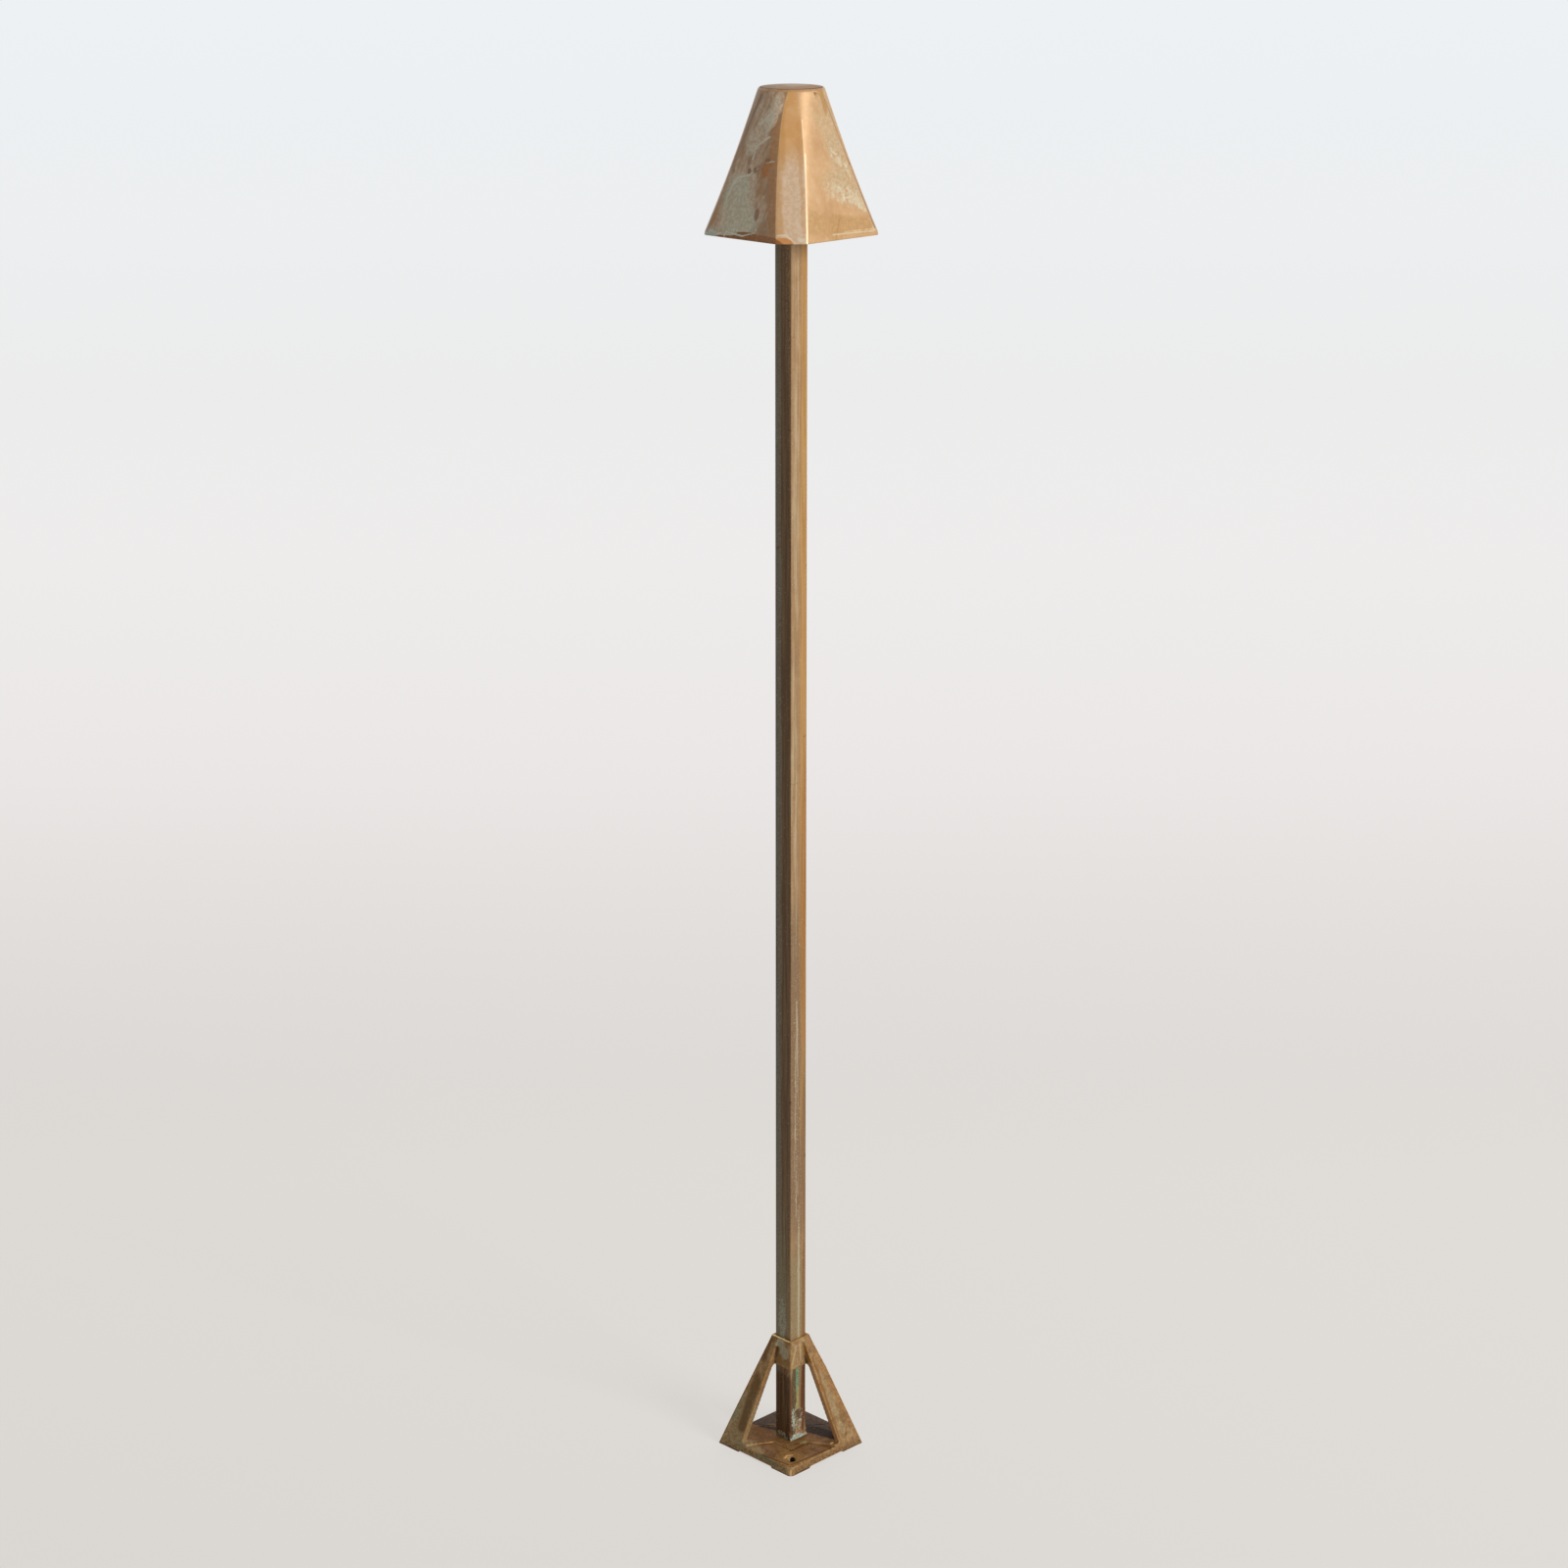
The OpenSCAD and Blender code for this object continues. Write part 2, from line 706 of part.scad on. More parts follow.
// Two bosses under the roof, each with a web that ends halfway through the wall
module stud_bosses() {
    ends = [hood_top - boss_bottom, roof_t / 2];
    web = [for (d = ends) [face_dist(d) - hood_inset / 2, -d]];
    for (a = [0, 180]) rotate(a) {
        translate([stud_x, 0, boss_bottom]) cylinder(d = stud_boss_d, h = ends[0] - ends[1]);
        translate([0, 0, hood_top]) along_y(stud_web_t)
            polygon([[stud_x, -ends[0]], web[0], web[1], [stud_x, -ends[1]]]);
    }
}

module hood() {
    color("#9a7a4c") difference() {
        union() {
            difference() {
                hood_form();
                hood_hollow();
            }
            stud_bosses();
        }
        pair_x(stud_x) translate([0, 0, boss_bottom - cut]) cylinder(d = stud_d, h = stud_seat + cut);
    }
}

module hood_studs() {
    color("#a98a55") pair_x(stud_x) translate([0, 0, stud_bottom])
        cylinder(d = stud_d, h = stud_top - stud_bottom);
}

module stud_jam_nuts() {
    color("#a98a55") pair_x(stud_x) translate([0, 0, ear_top]) difference() {
        cylinder(d = jam_w / cos(30), h = jam_h, $fn = 6);
        translate([0, 0, -cut]) cylinder(d = stud_d, h = jam_h + 2 * cut);
    }
}

// A thumb nut under an ear: a plain collar above a ridged grip
module thumb_nut(side) {
    grip_r = thumb_d / 2;
    color("#a98a55") translate([side * stud_x, 0, thumb_z]) difference() {
        union() {
            cylinder(d = thumb_d - 2 * thumb_step, h = thumb_h);
            linear_extrude(thumb_h - thumb_step) polygon([
                for (i = [0:2 * thumb_ridges - 1])
                    let (t = 180 * i / thumb_ridges) (grip_r - (i % 2) * ridge_h) * [cos(t), sin(t)]
            ]);
        }
        translate([0, 0, -cut]) cylinder(d = stud_d + 2 * running_gap, h = thumb_h + 2 * cut);
    }
}

module thumb_nut_left() {
    thumb_nut(-1);
}

module thumb_nut_right() {
    thumb_nut(1);
}

base_casting();
post();
post_set_screws();
wire_grommet();
terminal_block();
terminal_sleeves();
terminal_screws();
lead_wire_brown();
lead_wire_blue();
lamp_hub();
hub_screws();
lamp_socket();
socket_contacts();
socket_screws();
hood();
hood_studs();
stud_jam_nuts();
thumb_nut_left();
thumb_nut_right();
lamp_capsule();
lamp_filament();
lamp_pins();
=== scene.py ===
import math
from functools import partial

import bmesh
import bpy
import numpy as np
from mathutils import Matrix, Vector


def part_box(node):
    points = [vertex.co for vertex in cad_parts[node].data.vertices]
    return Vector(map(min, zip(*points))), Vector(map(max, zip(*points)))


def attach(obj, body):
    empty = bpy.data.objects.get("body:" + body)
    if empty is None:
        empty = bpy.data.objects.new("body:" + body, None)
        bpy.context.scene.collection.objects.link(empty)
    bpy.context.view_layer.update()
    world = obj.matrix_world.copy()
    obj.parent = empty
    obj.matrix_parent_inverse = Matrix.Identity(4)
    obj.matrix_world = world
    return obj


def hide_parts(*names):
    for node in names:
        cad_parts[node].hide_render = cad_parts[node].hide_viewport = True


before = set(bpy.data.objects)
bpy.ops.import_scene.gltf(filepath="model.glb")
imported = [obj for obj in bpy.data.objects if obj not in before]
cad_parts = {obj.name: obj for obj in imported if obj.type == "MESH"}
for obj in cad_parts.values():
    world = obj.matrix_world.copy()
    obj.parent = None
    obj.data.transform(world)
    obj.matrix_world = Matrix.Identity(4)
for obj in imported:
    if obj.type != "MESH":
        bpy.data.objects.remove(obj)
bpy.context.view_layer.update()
print("stage: model loaded,", len(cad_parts), "nodes")

mm = 0.001  # lengths in the dictionaries are millimetres


def addObject(name, data):
    # A new object in the scene
    made = bpy.data.objects.new(name, data)
    bpy.context.scene.collection.objects.link(made)
    return made


# Camera: the view from which the light was pictured, at 45 degrees between two faces of the post
cameraView = dict(right=-4.935, back=2273.9, height=1204.92, down=16.78, focal=3413.7 / 1600 * 36, sensor=36)
viewRight = Vector((1, 1, 0)).normalized()
viewAhead = Vector((-1, 1, 0)).normalized()
lens = bpy.data.cameras.new("viewLens")
lens.lens = cameraView["focal"]
lens.sensor_width = cameraView["sensor"]
lens.clip_start, lens.clip_end = 0.01, 200
viewCamera = addObject("viewCamera", lens)
viewCamera.location = (viewRight * cameraView["right"] - viewAhead * cameraView["back"]
                       + Vector((0, 0, cameraView["height"]))) * mm
lookDown = math.radians(cameraView["down"])
gaze = viewAhead * math.cos(lookDown) - Vector((0, 0, math.sin(lookDown)))
viewCamera.rotation_euler = gaze.to_track_quat("-Z", "Y").to_euler()
bpy.context.scene.camera = viewCamera


# Nodes and colours

def tint(hexText, alpha=1.0):
    # sRGB hex to linear: the lower part is divided by 12.92, the rest follows the 2.4 power curve
    parts = [int(hexText[i:i + 2], 16) / 255 for i in (1, 3, 5)]
    return [p / 12.92 if p <= 0.04045 else ((p + 0.055) / 1.055) ** 2.4 for p in parts] + [alpha]


def addNode(tree, kind, wires=(), out=0, stops=None, **settings):
    # Adds one node: settings first, then links or values by socket name or number. Hex text is a colour.
    # It gives back the chosen output, or the node itself where it has none.
    node = tree.nodes.new("ShaderNode" + kind)
    for name, value in settings.items():
        setattr(node, name, value)
    for socket, value in (wires.items() if isinstance(wires, dict) else enumerate(wires)):
        if isinstance(value, bpy.types.NodeSocket):
            tree.links.new(value, node.inputs[socket])
        else:
            node.inputs[socket].default_value = tint(value) if isinstance(value, str) else value
    if stops:
        ramp = node.color_ramp
        ramp.elements.remove(ramp.elements[-1])
        for i, (place, colour) in enumerate(stops):
            stop = ramp.elements[0] if i == 0 else ramp.elements.new(place)
            stop.position, stop.color = place, tint(colour)
    shown = [s for s in node.outputs if s.enabled]
    return (node.outputs[out] if isinstance(out, str) else shown[out]) if shown else node


def blankTree(owner):
    # The node tree of a material or world, with nothing in it
    owner.use_nodes = True
    owner.node_tree.nodes.clear()
    return owner.node_tree


def newMaterial(name, **constants):
    # A Principled material, and the piece's own place in millimetres
    material = bpy.data.materials.new(name)
    tree = blankTree(material)
    surface = addNode(tree, "BsdfPrincipled", {k.replace("_", " "): v for k, v in constants.items()})
    addNode(tree, "OutputMaterial", {"Surface": surface})
    place = addNode(tree, "VectorMath", {0: addNode(tree, "TexCoord", out="Object"), "Scale": 1000.0},
                    operation="SCALE")
    return material, tree, surface.node, place


def finishMaterial(tree, shader, colour, rough, relief):
    # Links what every finish has: its colour, its roughness and its relief
    for socket, value in (("Base Color", colour), ("Roughness", rough), ("Normal", relief)):
        tree.links.new(value, shader.inputs[socket])


def addShapes(add, place, shapes, total):
    # Soft shapes added up, each with its strength inside and nothing beyond its edge:
    # (centre, half sizes, strength) is an ellipsoid, (start, end, half width, strength) a stroke.
    for shape in shapes:
        if len(shape) == 3:
            centre, size, strength = shape
            offset = add("VectorMath", (place, centre), operation="SUBTRACT")
            offset = add("VectorMath", (offset, size), operation="DIVIDE")
            reach = add("VectorMath", (offset,), operation="LENGTH", out="Value")
        else:
            start, end, width, strength = shape
            run = Vector(end) - Vector(start)
            offset = add("VectorMath", (place, start), operation="SUBTRACT")
            along = add("VectorMath", (offset, run / run.length_squared), operation="DOT_PRODUCT", out="Value")
            along = add("Clamp", (along,))
            nearest = add("VectorMath", {0: run, "Scale": along}, operation="SCALE")
            reach = add("VectorMath", (offset, nearest), operation="DISTANCE", out="Value")
            reach = add("Math", (reach, width), operation="DIVIDE")
        soft = add("MapRange", {"Value": reach, "From Min": 1.0, "From Max": 0.3, "To Min": 0.0,
                                "To Max": strength}, interpolation_type="SMOOTHSTEP", clamp=False)
        total = add("Math", (soft, total), operation="ADD")
    return total


# Weathered cast bronze: a brown oxide skin over metal, so it is only partly metallic. Rain and handling lay
# washes of grey-green patina, rust-brown stains and bare golden edges over it, one coat after another.
# Some coats are not weathering but painted highlights and painted shade.
bronzeLook = dict(bendSize=14, bendBy=6, cloudSize=16, speckSize=2.4, speckShare=0.2, streakTurn=(0, 0, 0),
                  streakStretch=(1, 1, 7), streakSize=6, streakShare=0.3, contrast=2.2,
                  stops=[(0.2, "#bb8d5f"), (0.42, "#cda274"), (0.6, "#d6ad80"), (0.8, "#dfbb90")], coats=[],
                  metallic=0.16, shine=0.5, rough=0.44, dullRough=0.72, roughBy=0.12, grainSize=0.8,
                  speckRelief=0.45, bumpStrength=0.3, bumpDepth=0.2)


def coat(colour, cover, broken, low, high, *shapes, by="speck", shade="speck", start=0.0, exact=False,
         dull=False, **carried):
    # A coat comes in where start + its shapes + broken * (pattern - 0.5) + gain * attribute, for each
    # attribute that the piece carries, runs from low to high, and hides there what lies under it by its
    # cover. Two colours change with the pattern named by shade. An exact coat has no wavy outline.
    return dict(colour=colour, cover=cover, broken=broken, low=low, high=high, shapes=shapes, by=by,
                shade=shade, start=start, exact=exact, dull=dull, carried=carried)


def weatheredBronze(name, **changes):
    # Three noises, stretched in contrast, mix to one tone that picks the metal's colour. Each coat is mixed
    # over it by its cover. Roughness goes from rough to dullRough where a dull coat covers, and specks vary it.
    look = {**bronzeLook, **changes}
    material, tree, shader, place = newMaterial(name)
    add = partial(addNode, tree)
    bend = add("TexNoise", {"Vector": place, "Scale": 1 / look["bendSize"], "Detail": 3.0}, out="Color")
    bend = add("VectorMath", (bend, (0.5, 0.5, 0.5)), operation="SUBTRACT")
    bent = add("VectorMath", (bend, (look["bendBy"],) * 3, place), operation="MULTIPLY_ADD")
    cloud = add("TexNoise", {"Vector": bent, "Scale": 1 / look["cloudSize"], "Detail": 5.0, "Roughness": 0.55,
                             "Distortion": 0.4})
    speck = add("TexNoise", {"Vector": bent, "Scale": 1 / look["speckSize"], "Detail": 4.0, "Roughness": 0.6})
    drawn = add("Mapping", {"Vector": bent, "Rotation": look["streakTurn"], "Scale": look["streakStretch"]},
                vector_type="TEXTURE")
    streak = add("TexNoise", {"Vector": drawn, "Scale": 1 / look["streakSize"], "Detail": 5.0})
    noises = dict(cloud=cloud, speck=speck, streak=streak)
    patterns = {kind: add("Math", (noise, look["contrast"], 0.5 - look["contrast"] / 2),
                          operation="MULTIPLY_ADD") for kind, noise in noises.items()}
    tone = add("Mix", {"Factor": look["streakShare"], "A": patterns["cloud"], "B": patterns["streak"]})
    tone = add("Mix", {"Factor": look["speckShare"], "A": tone, "B": patterns["speck"]})
    colour = add("ValToRGB", {"Fac": tone}, stops=look["stops"])
    dull = 0.0
    for wash in look["coats"]:
        begin = wash["start"] - wash["broken"] / 2
        reach = addShapes(add, place if wash["exact"] else bent, wash["shapes"], begin)
        reach = add("Math", (patterns[wash["by"]], wash["broken"], reach), operation="MULTIPLY_ADD")
        for attribute, gain in wash["carried"].items():
            carried = add("Attribute", attribute_name=attribute, out="Fac")
            reach = add("Math", (carried, gain, reach), operation="MULTIPLY_ADD")
        cover = add("MapRange", {"Value": reach, "From Min": wash["low"], "From Max": wash["high"],
                                 "To Max": wash["cover"]}, interpolation_type="SMOOTHSTEP", clamp=False)
        tone = wash["colour"]
        if not isinstance(tone, str):
            tone = add("ValToRGB", {"Fac": patterns[wash["shade"]]}, stops=[(0.32, tone[0]), (0.68, tone[1])])
        colour = add("Mix", {"Factor": cover, "A": colour, "B": tone}, data_type="RGBA")
        if wash["dull"]:
            dull = add("Math", (cover, dull), operation="MAXIMUM")
    least = look["roughBy"] / 2
    rough = add("Mix", {"Factor": dull, "A": look["rough"] - least, "B": look["dullRough"] - least})
    rough = add("Math", (speck, look["roughBy"], rough), operation="MULTIPLY_ADD")
    grain = add("TexNoise", {"Vector": place, "Scale": 1 / look["grainSize"], "Detail": 3.0})
    height = add("Mix", {"Factor": look["speckRelief"], "A": grain, "B": speck})
    bump = add("Bump", {"Strength": look["bumpStrength"], "Distance": look["bumpDepth"] * mm, "Height": height})
    shader.inputs["Metallic"].default_value = look["metallic"]
    shader.inputs["Specular IOR Level"].default_value = look["shine"]
    finishMaterial(tree, shader, colour, rough, bump)
    return material


def plainFinish(name, stops, size=4.0, stretch=(1, 1, 1), rough=0.4, roughBy=0.15, fine=0.5, bump=0.15,
                depth=0.05, **constants):
    # One material with its own mottling: colour and roughness from a noise, bump from a finer one
    material, tree, shader, place = newMaterial(name, **constants)
    add = partial(addNode, tree)
    drawn = add("VectorMath", (place, stretch), operation="MULTIPLY")
    mottle = add("TexNoise", {"Vector": drawn, "Scale": 1 / size, "Detail": 4.0})
    colour = add("ValToRGB", {"Fac": mottle}, stops=stops)
    shine = add("Math", (mottle, roughBy, rough - roughBy / 2), operation="MULTIPLY_ADD")
    grain = add("TexNoise", {"Vector": drawn, "Scale": 1 / fine, "Detail": 3.0})
    relief = add("Bump", {"Strength": bump, "Distance": depth * mm, "Height": grain})
    finishMaterial(tree, shader, colour, shine, relief)
    return material


# Surfaces

def ringMesh(name, rings, loop=False):
    # Rings of points, rows by columns, joined row to row. The path runs down the outside, so faces look out.
    # Its ends close in a pole at each ring's middle, or, as a loop, the last row joins the first.
    rows, columns = rings.shape[:2]
    points = rings.reshape(-1, 3)
    row, column = np.meshgrid(np.arange(rows if loop else rows - 1), np.arange(columns), indexing="ij")
    below, beside = (row + 1) % rows * columns, (column + 1) % columns
    quads = np.stack([row * columns + column, below + column, below + beside, row * columns + beside], -1)
    quads = quads.reshape(-1, 4).tolist()
    if not loop:
        points = np.vstack([points, rings[0].mean(0), rings[-1].mean(0)])
        start, nextOne = np.arange(columns), (np.arange(columns) + 1) % columns
        last = (rows - 1) * columns
        quads += np.stack([np.full(columns, rows * columns), start, nextOne], -1).tolist()
        quads += np.stack([np.full(columns, rows * columns + 1), last + nextOne, last + start], -1).tolist()
    mesh = bpy.data.meshes.new(name)
    mesh.from_pydata((points * mm).tolist(), [], quads)
    mesh.shade_smooth()
    return addObject(name, mesh)


def joinPieces(name, pieces):
    # Several meshes in one object
    whole = bmesh.new()
    for piece in pieces:
        whole.from_mesh(piece.data)
        bpy.data.objects.remove(piece)
    mesh = bpy.data.meshes.new(name)
    whole.to_mesh(mesh)
    whole.free()
    mesh.shade_smooth()
    return addObject(name, mesh)


def polar(radius, turn, height):
    # Radius, turn and height to X, Y and Z
    radius, turn, height = np.broadcast_arrays(radius, turn, height)
    return np.stack([radius * np.cos(turn), radius * np.sin(turn), height], -1)


def carry(mesh, name, values):
    # An attribute of the mesh's points, which a material reads by its name
    mesh.attributes.new(name, "FLOAT", "POINT").data.foreach_set("value", values.astype(np.float32))


def dress(piece, material, body, slotName, *nodes):
    # A piece's material, the body it moves with and the nodes it stands for; slotName is not used
    piece.data.materials.clear()
    piece.data.materials.append(material)
    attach(piece, body)
    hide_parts(*nodes)


def waves(*coordinates, size=10.0, seed=1, number=12):
    # Gentle unevenness from -1 to 1: sine waves about one size long in seeded directions, added up
    chance = np.random.default_rng(seed)
    total = 0
    for i in range(number):
        way = chance.normal(size=len(coordinates)) * 2 * np.pi / size / 1.6
        total = total + np.sin(sum(w * c for w, c in zip(way, coordinates)) + chance.uniform(0, 2 * np.pi))
    return total / (number / 2)


# Hood: one cast shell. Its section is a circle at the top and goes over into a square with full sides, cut
# at its corners by plane facets whose outline is an arch.
hood = dict(top=1006.0, height=97.5, faceTop=22.2, faceSlope=0.275, facetTop=22.2, facetSlope=0.325,
            facetFlare=5.0, facetHalf=10.3, archReach=92.0, shoulder=3.2, wall=2.73, roof=3.0, softness=160,
            rimRound=0.55, unevenness=0.06, rows=76, innerRows=34, evenFrom=4.0, firstRow=0.4, markBlend=1.1,
            rings=dict(lip=(0.22, 0.22), shoulder=(1.2, 0.8)))


def hoodPlan(depth):
    # Distance of the faces and of the facets from the axis, and half the facets' width
    share = np.minimum(depth, hood["archReach"]) / hood["archReach"]
    arch = hood["facetHalf"] * np.sqrt(np.clip(1 - (1 - share) ** 2, 0, None))
    facet = hood["facetTop"] + hood["facetSlope"] * depth + hood["facetFlare"] * (depth / hood["height"]) ** 2
    return hood["faceTop"] + hood["faceSlope"] * depth, facet, arch


def hoodRadius(turn, depth, inset=0.0):
    # The section follows |x|^n + |y|^n = face^n. Halving finds the n with which it meets the facet at the
    # arch. The facets join as planes, cos(turn - direction) / distance, with a high power where they meet.
    face, facet, arch = hoodPlan(depth)
    meet = np.pi / 4 - np.arctan(arch / facet)
    low, high = 2.0 + 0 * depth, 14.0 + 0 * depth
    for i in range(24):
        power = (low + high) / 2
        wide = (np.cos(meet) ** power + np.sin(meet) ** power) ** (1 / power) > face / np.hypot(facet, arch)
        low, high = np.where(wide, power, low), np.where(wide, high, power)
    sides = [(np.abs(np.cos(turn)) ** low + np.abs(np.sin(turn)) ** low) ** (1 / low) / (face - inset)]
    sides += [np.abs(part(turn - np.pi / 4)) / (facet - inset) for part in (np.cos, np.sin)]
    nearest = np.max(sides, axis=0)
    total = np.sum([(s / nearest) ** hood["softness"] for s in sides], axis=0)
    return 1 / (nearest * total ** (1 / hood["softness"]))


def markHood(turn, depth, radius):
    # facet: 1 within a corner facet's arch. shaded, sunny and rear: 1 on the faces towards -Y, +X and -X.
    # lip and shoulder: a thin ring where the flat top turns down, and the rounding outside it, as bell curves.
    arch = hoodPlan(depth)[2]
    x, y = radius * np.cos(turn), radius * np.sin(turn)
    marks = dict(facet=arch - radius * np.abs(np.sin(turn % (np.pi / 2) - np.pi / 4)))
    for name, ahead, beside in (("shaded", -y, x), ("sunny", x, y), ("rear", -x, y)):
        marks[name] = (ahead - np.abs(beside)) / np.sqrt(2) - arch
    marks = {name: np.clip(reach / hood["markBlend"] + 0.5, 0, 1) for name, reach in marks.items()}
    for name, (middle, width) in hood["rings"].items():
        marks[name] = np.exp(-((depth - middle) / width) ** 2)
    return marks


def makeHood():
    # Path: middle of the top, shoulder arc, down the outside, round the rim, up the inside to the roof
    quarter = np.concatenate([np.arange(0, 28, 2), np.arange(28, 62, 0.5), np.arange(62, 90, 2)])
    turn = np.radians((quarter + 90 * np.arange(4)[:, None]).ravel())[None, :]
    slant = np.arctan(hoodRadius(turn, 3.2) - hoodRadius(turn, 2.2))
    drop = hood["shoulder"] * (1 - np.sin(slant))
    flat = hoodRadius(turn, drop) - hood["shoulder"] * np.cos(slant)
    tip = np.array([0.12, 0.25, 0.4, 0.55, 0.7, 0.82, 0.92, 0.98])[:, None]
    step = np.linspace(0, 1, 10)[:, None]
    lean = np.pi / 2 + (slant - np.pi / 2) * step
    first, even = hood["firstRow"], hood["evenFrom"]
    down = np.linspace(first, hood["height"] - hood["rimRound"], hood["rows"])[:, None]
    down = np.where(down < even, drop + (down - first) / (even - first) * (even - drop), down)
    curl = np.linspace(0, np.pi / 2, 5)[:, None]
    edge, brim = hood["rimRound"], hood["height"]
    inner = np.linspace(brim - edge - 0.1, hood["roof"] + 0.6, hood["innerRows"])[:, None]
    radii = [tip * flat, flat + hood["shoulder"] * np.cos(lean), hoodRadius(turn, down[1:]),
             hoodRadius(turn, brim - edge) - edge * (1 - np.cos(curl[1:])),
             hoodRadius(turn, brim - edge, hood["wall"]) + edge * (1 - np.sin(curl)),
             hoodRadius(turn, inner, hood["wall"]),
             (1 - tip) * hoodRadius(turn, hood["roof"], hood["wall"])]
    depths = [0 * tip, hood["shoulder"] * (1 - np.sin(lean)), down[1:], brim - edge * (1 - np.sin(curl[1:])),
              brim - edge * (1 - np.cos(curl)), inner, hood["roof"] + 0 * tip]
    radius = np.vstack([r + 0 * turn for r in radii])
    depth = np.vstack([d + 0 * turn for d in depths])
    uneven = hood["unevenness"] * (1 + waves(radius * np.cos(turn), radius * np.sin(turn), depth, size=26))
    shell = ringMesh("hoodShell", polar(radius - uneven, turn, hood["top"] - depth))
    for name, value in markHood(turn, depth, radius).items():
        carry(shell.data, name, np.concatenate([(value + 0 * radius).ravel(), [0, 0]]))  # and both poles
    return shell


# Bosses for the studs: each stands on the roof inside and runs into the side wall by a thin web
seats = dict(x=15.0, radius=4.5, low=993.0, web=3.0, reach=9.0)


def makeSeat(side):
    # A round boss and its web as one outline, its radius widened by a soft fillet where it meets the roof
    turn = np.linspace(0, 2 * np.pi, 97)[None, :-1]
    outward = np.cos(turn) * side
    web = np.where(outward > 0, np.minimum(seats["web"] / 2 / np.maximum(np.abs(np.sin(turn)), 1e-3),
                                           seats["reach"]), 0)
    plan = np.maximum(seats["radius"], web)
    up = np.array([0, 0, 0.15, 0.4, 1.5, 4, 7, 8.2, 9, 9.6, 10.0, 10.3, 10.6])[::-1, None]
    shrink = np.array([1.0, 0.5, 0.15, 0, 0, 0, 0, -0.1, -0.3, -0.6, -0.9, -1.1, -1.2])[::-1, None]
    return ringMesh("seat", polar(plan - shrink, turn, seats["low"] + up) + np.array([side * seats["x"], 0, 0]))


# Post: square tube with nearly sharp corners, crusted where water stands at its foot
post = dict(width=15.875, corner=0.75, wall=1.5, low=4.6, high=938.0, crust=0.8, crustHigh=40.0, crustFade=28.0,
            skirtHigh=14.5, skirtFade=3.0, plateTop=7.0)


def makePost():
    # Rounded square carried down the outside and up the inside. Crust pushes the outside out near the foot:
    # lumps times a share that fades upwards and towards the far side, and a low skirt of it on the plate.
    def outline(width, corner):
        bend = np.radians(np.linspace(-45, 45, 7)) + np.pi / 4
        middle = width / 2 - corner
        straight = np.linspace(-1, 1, 19)[1:-1] * middle
        arc = middle + corner * np.stack([np.cos(bend), np.sin(bend)], -1)
        side = np.vstack([np.stack([np.full(17, width / 2), straight], -1), arc])
        return np.vstack([side @ np.array([[np.cos(a), np.sin(a)], [-np.sin(a), np.cos(a)]])
                          for a in np.arange(4) * np.pi / 2])

    def raised(plan, levels):
        # The plan at each level
        heights = np.broadcast_to(levels[:, None, None], (len(levels), plan.shape[-2], 1))
        return np.concatenate([np.broadcast_to(plan, (len(levels),) + plan.shape[-2:]), heights], -1)

    low, high = post["low"], post["high"]
    down = np.concatenate([[high, high - 0.12, high - 0.3], np.arange(930, 95, -9.0), np.arange(92, 50, -3.0),
                           np.arange(50, low, -0.6), [low]])
    shape = outline(post["width"], post["corner"])
    facing = shape / np.linalg.norm(shape, axis=1)[:, None]
    trim = np.zeros(len(down))
    trim[:2], trim[-1] = (0.25, 0.06), 0.15
    x, y, z = shape[None, :, 0], shape[None, :, 1], down[:, None]
    lumps = 0.45 + 0.6 * waves(x, y, z, size=3.6, seed=4) + 0.35 * waves(x, y, z, size=1.6, seed=5)
    lumps = np.clip(lumps, 0, 1.4)
    wet = np.clip((post["crustHigh"] - z) / post["crustFade"], 0, 1) ** 1.6 * (z > post["plateTop"])
    wet = wet * np.clip((x - 3.5) / 4, 0.12, 1)
    skirt = post["skirtHigh"] + 1.6 * waves(x, y, size=5, seed=6) - z
    skirt = np.clip(skirt / post["skirtFade"], 0, 1) * (z > post["plateTop"] - 0.1)
    skirt = skirt * np.clip((x + 1) / 7, 0.2, 1)
    push = post["crust"] * (lumps * wet * 0.8 + skirt * (0.5 + 0.4 * lumps)) - trim[:, None]
    outside = raised(shape[None] + facing[None] * push[..., None], down)
    bore = outline(post["width"] - 2 * post["wall"], post["corner"] / 2)
    levels = np.concatenate([[low], np.linspace(low + 0.3, high - 0.3, 12), [high]])
    return ringMesh("postTube", np.concatenate([outside, raised(bore, levels)]), loop=True)


# Foot: the casting's own form, evened out and rounded off as sand casting leaves it
foot = dict(grid=0.55, smoothPasses=3, backShare=1.04, wearPasses=13, wearScale=0.22, plateTop=9.0,
            half=38.1, slope=0.3131, openCorner=4.6, legCorner=0.6, cornerHigh=66.0, edgeGain=1.1,
            edgeWidth=5.0, edgeFade=3.5, edgeHigh=84.0, frontFade=64.0, rearFade=20.0, taperHigh=20.0,
            taper=12.0, taperLeast=0.35, flatFrom=0.5, flatBlend=0.35)


def readAll(items, name, width, kind=float):
    # One property of all items as an array, width numbers to a row
    values = np.empty(len(items) * width, dtype=kind)
    items.foreach_get(name, values)
    return values.reshape(-1, width)


def spreadOver(values, edges, degree, passes, share):
    # Moves each point by a share of the way to the mean of its neighbours. With a share of a half, every
    # second pass moves it back, so that ripples go and the form stays.
    ends, others = edges.ravel(), edges[:, ::-1].ravel()
    for i in range(passes):
        near = [np.bincount(ends, weights=column[others], minlength=len(values)) for column in values.T]
        near = np.stack(near, 1) / degree[:, None]
        values = values + (-share * foot["backShare"] if i % 2 and share == 0.5 else share) * (near - values)
    return values


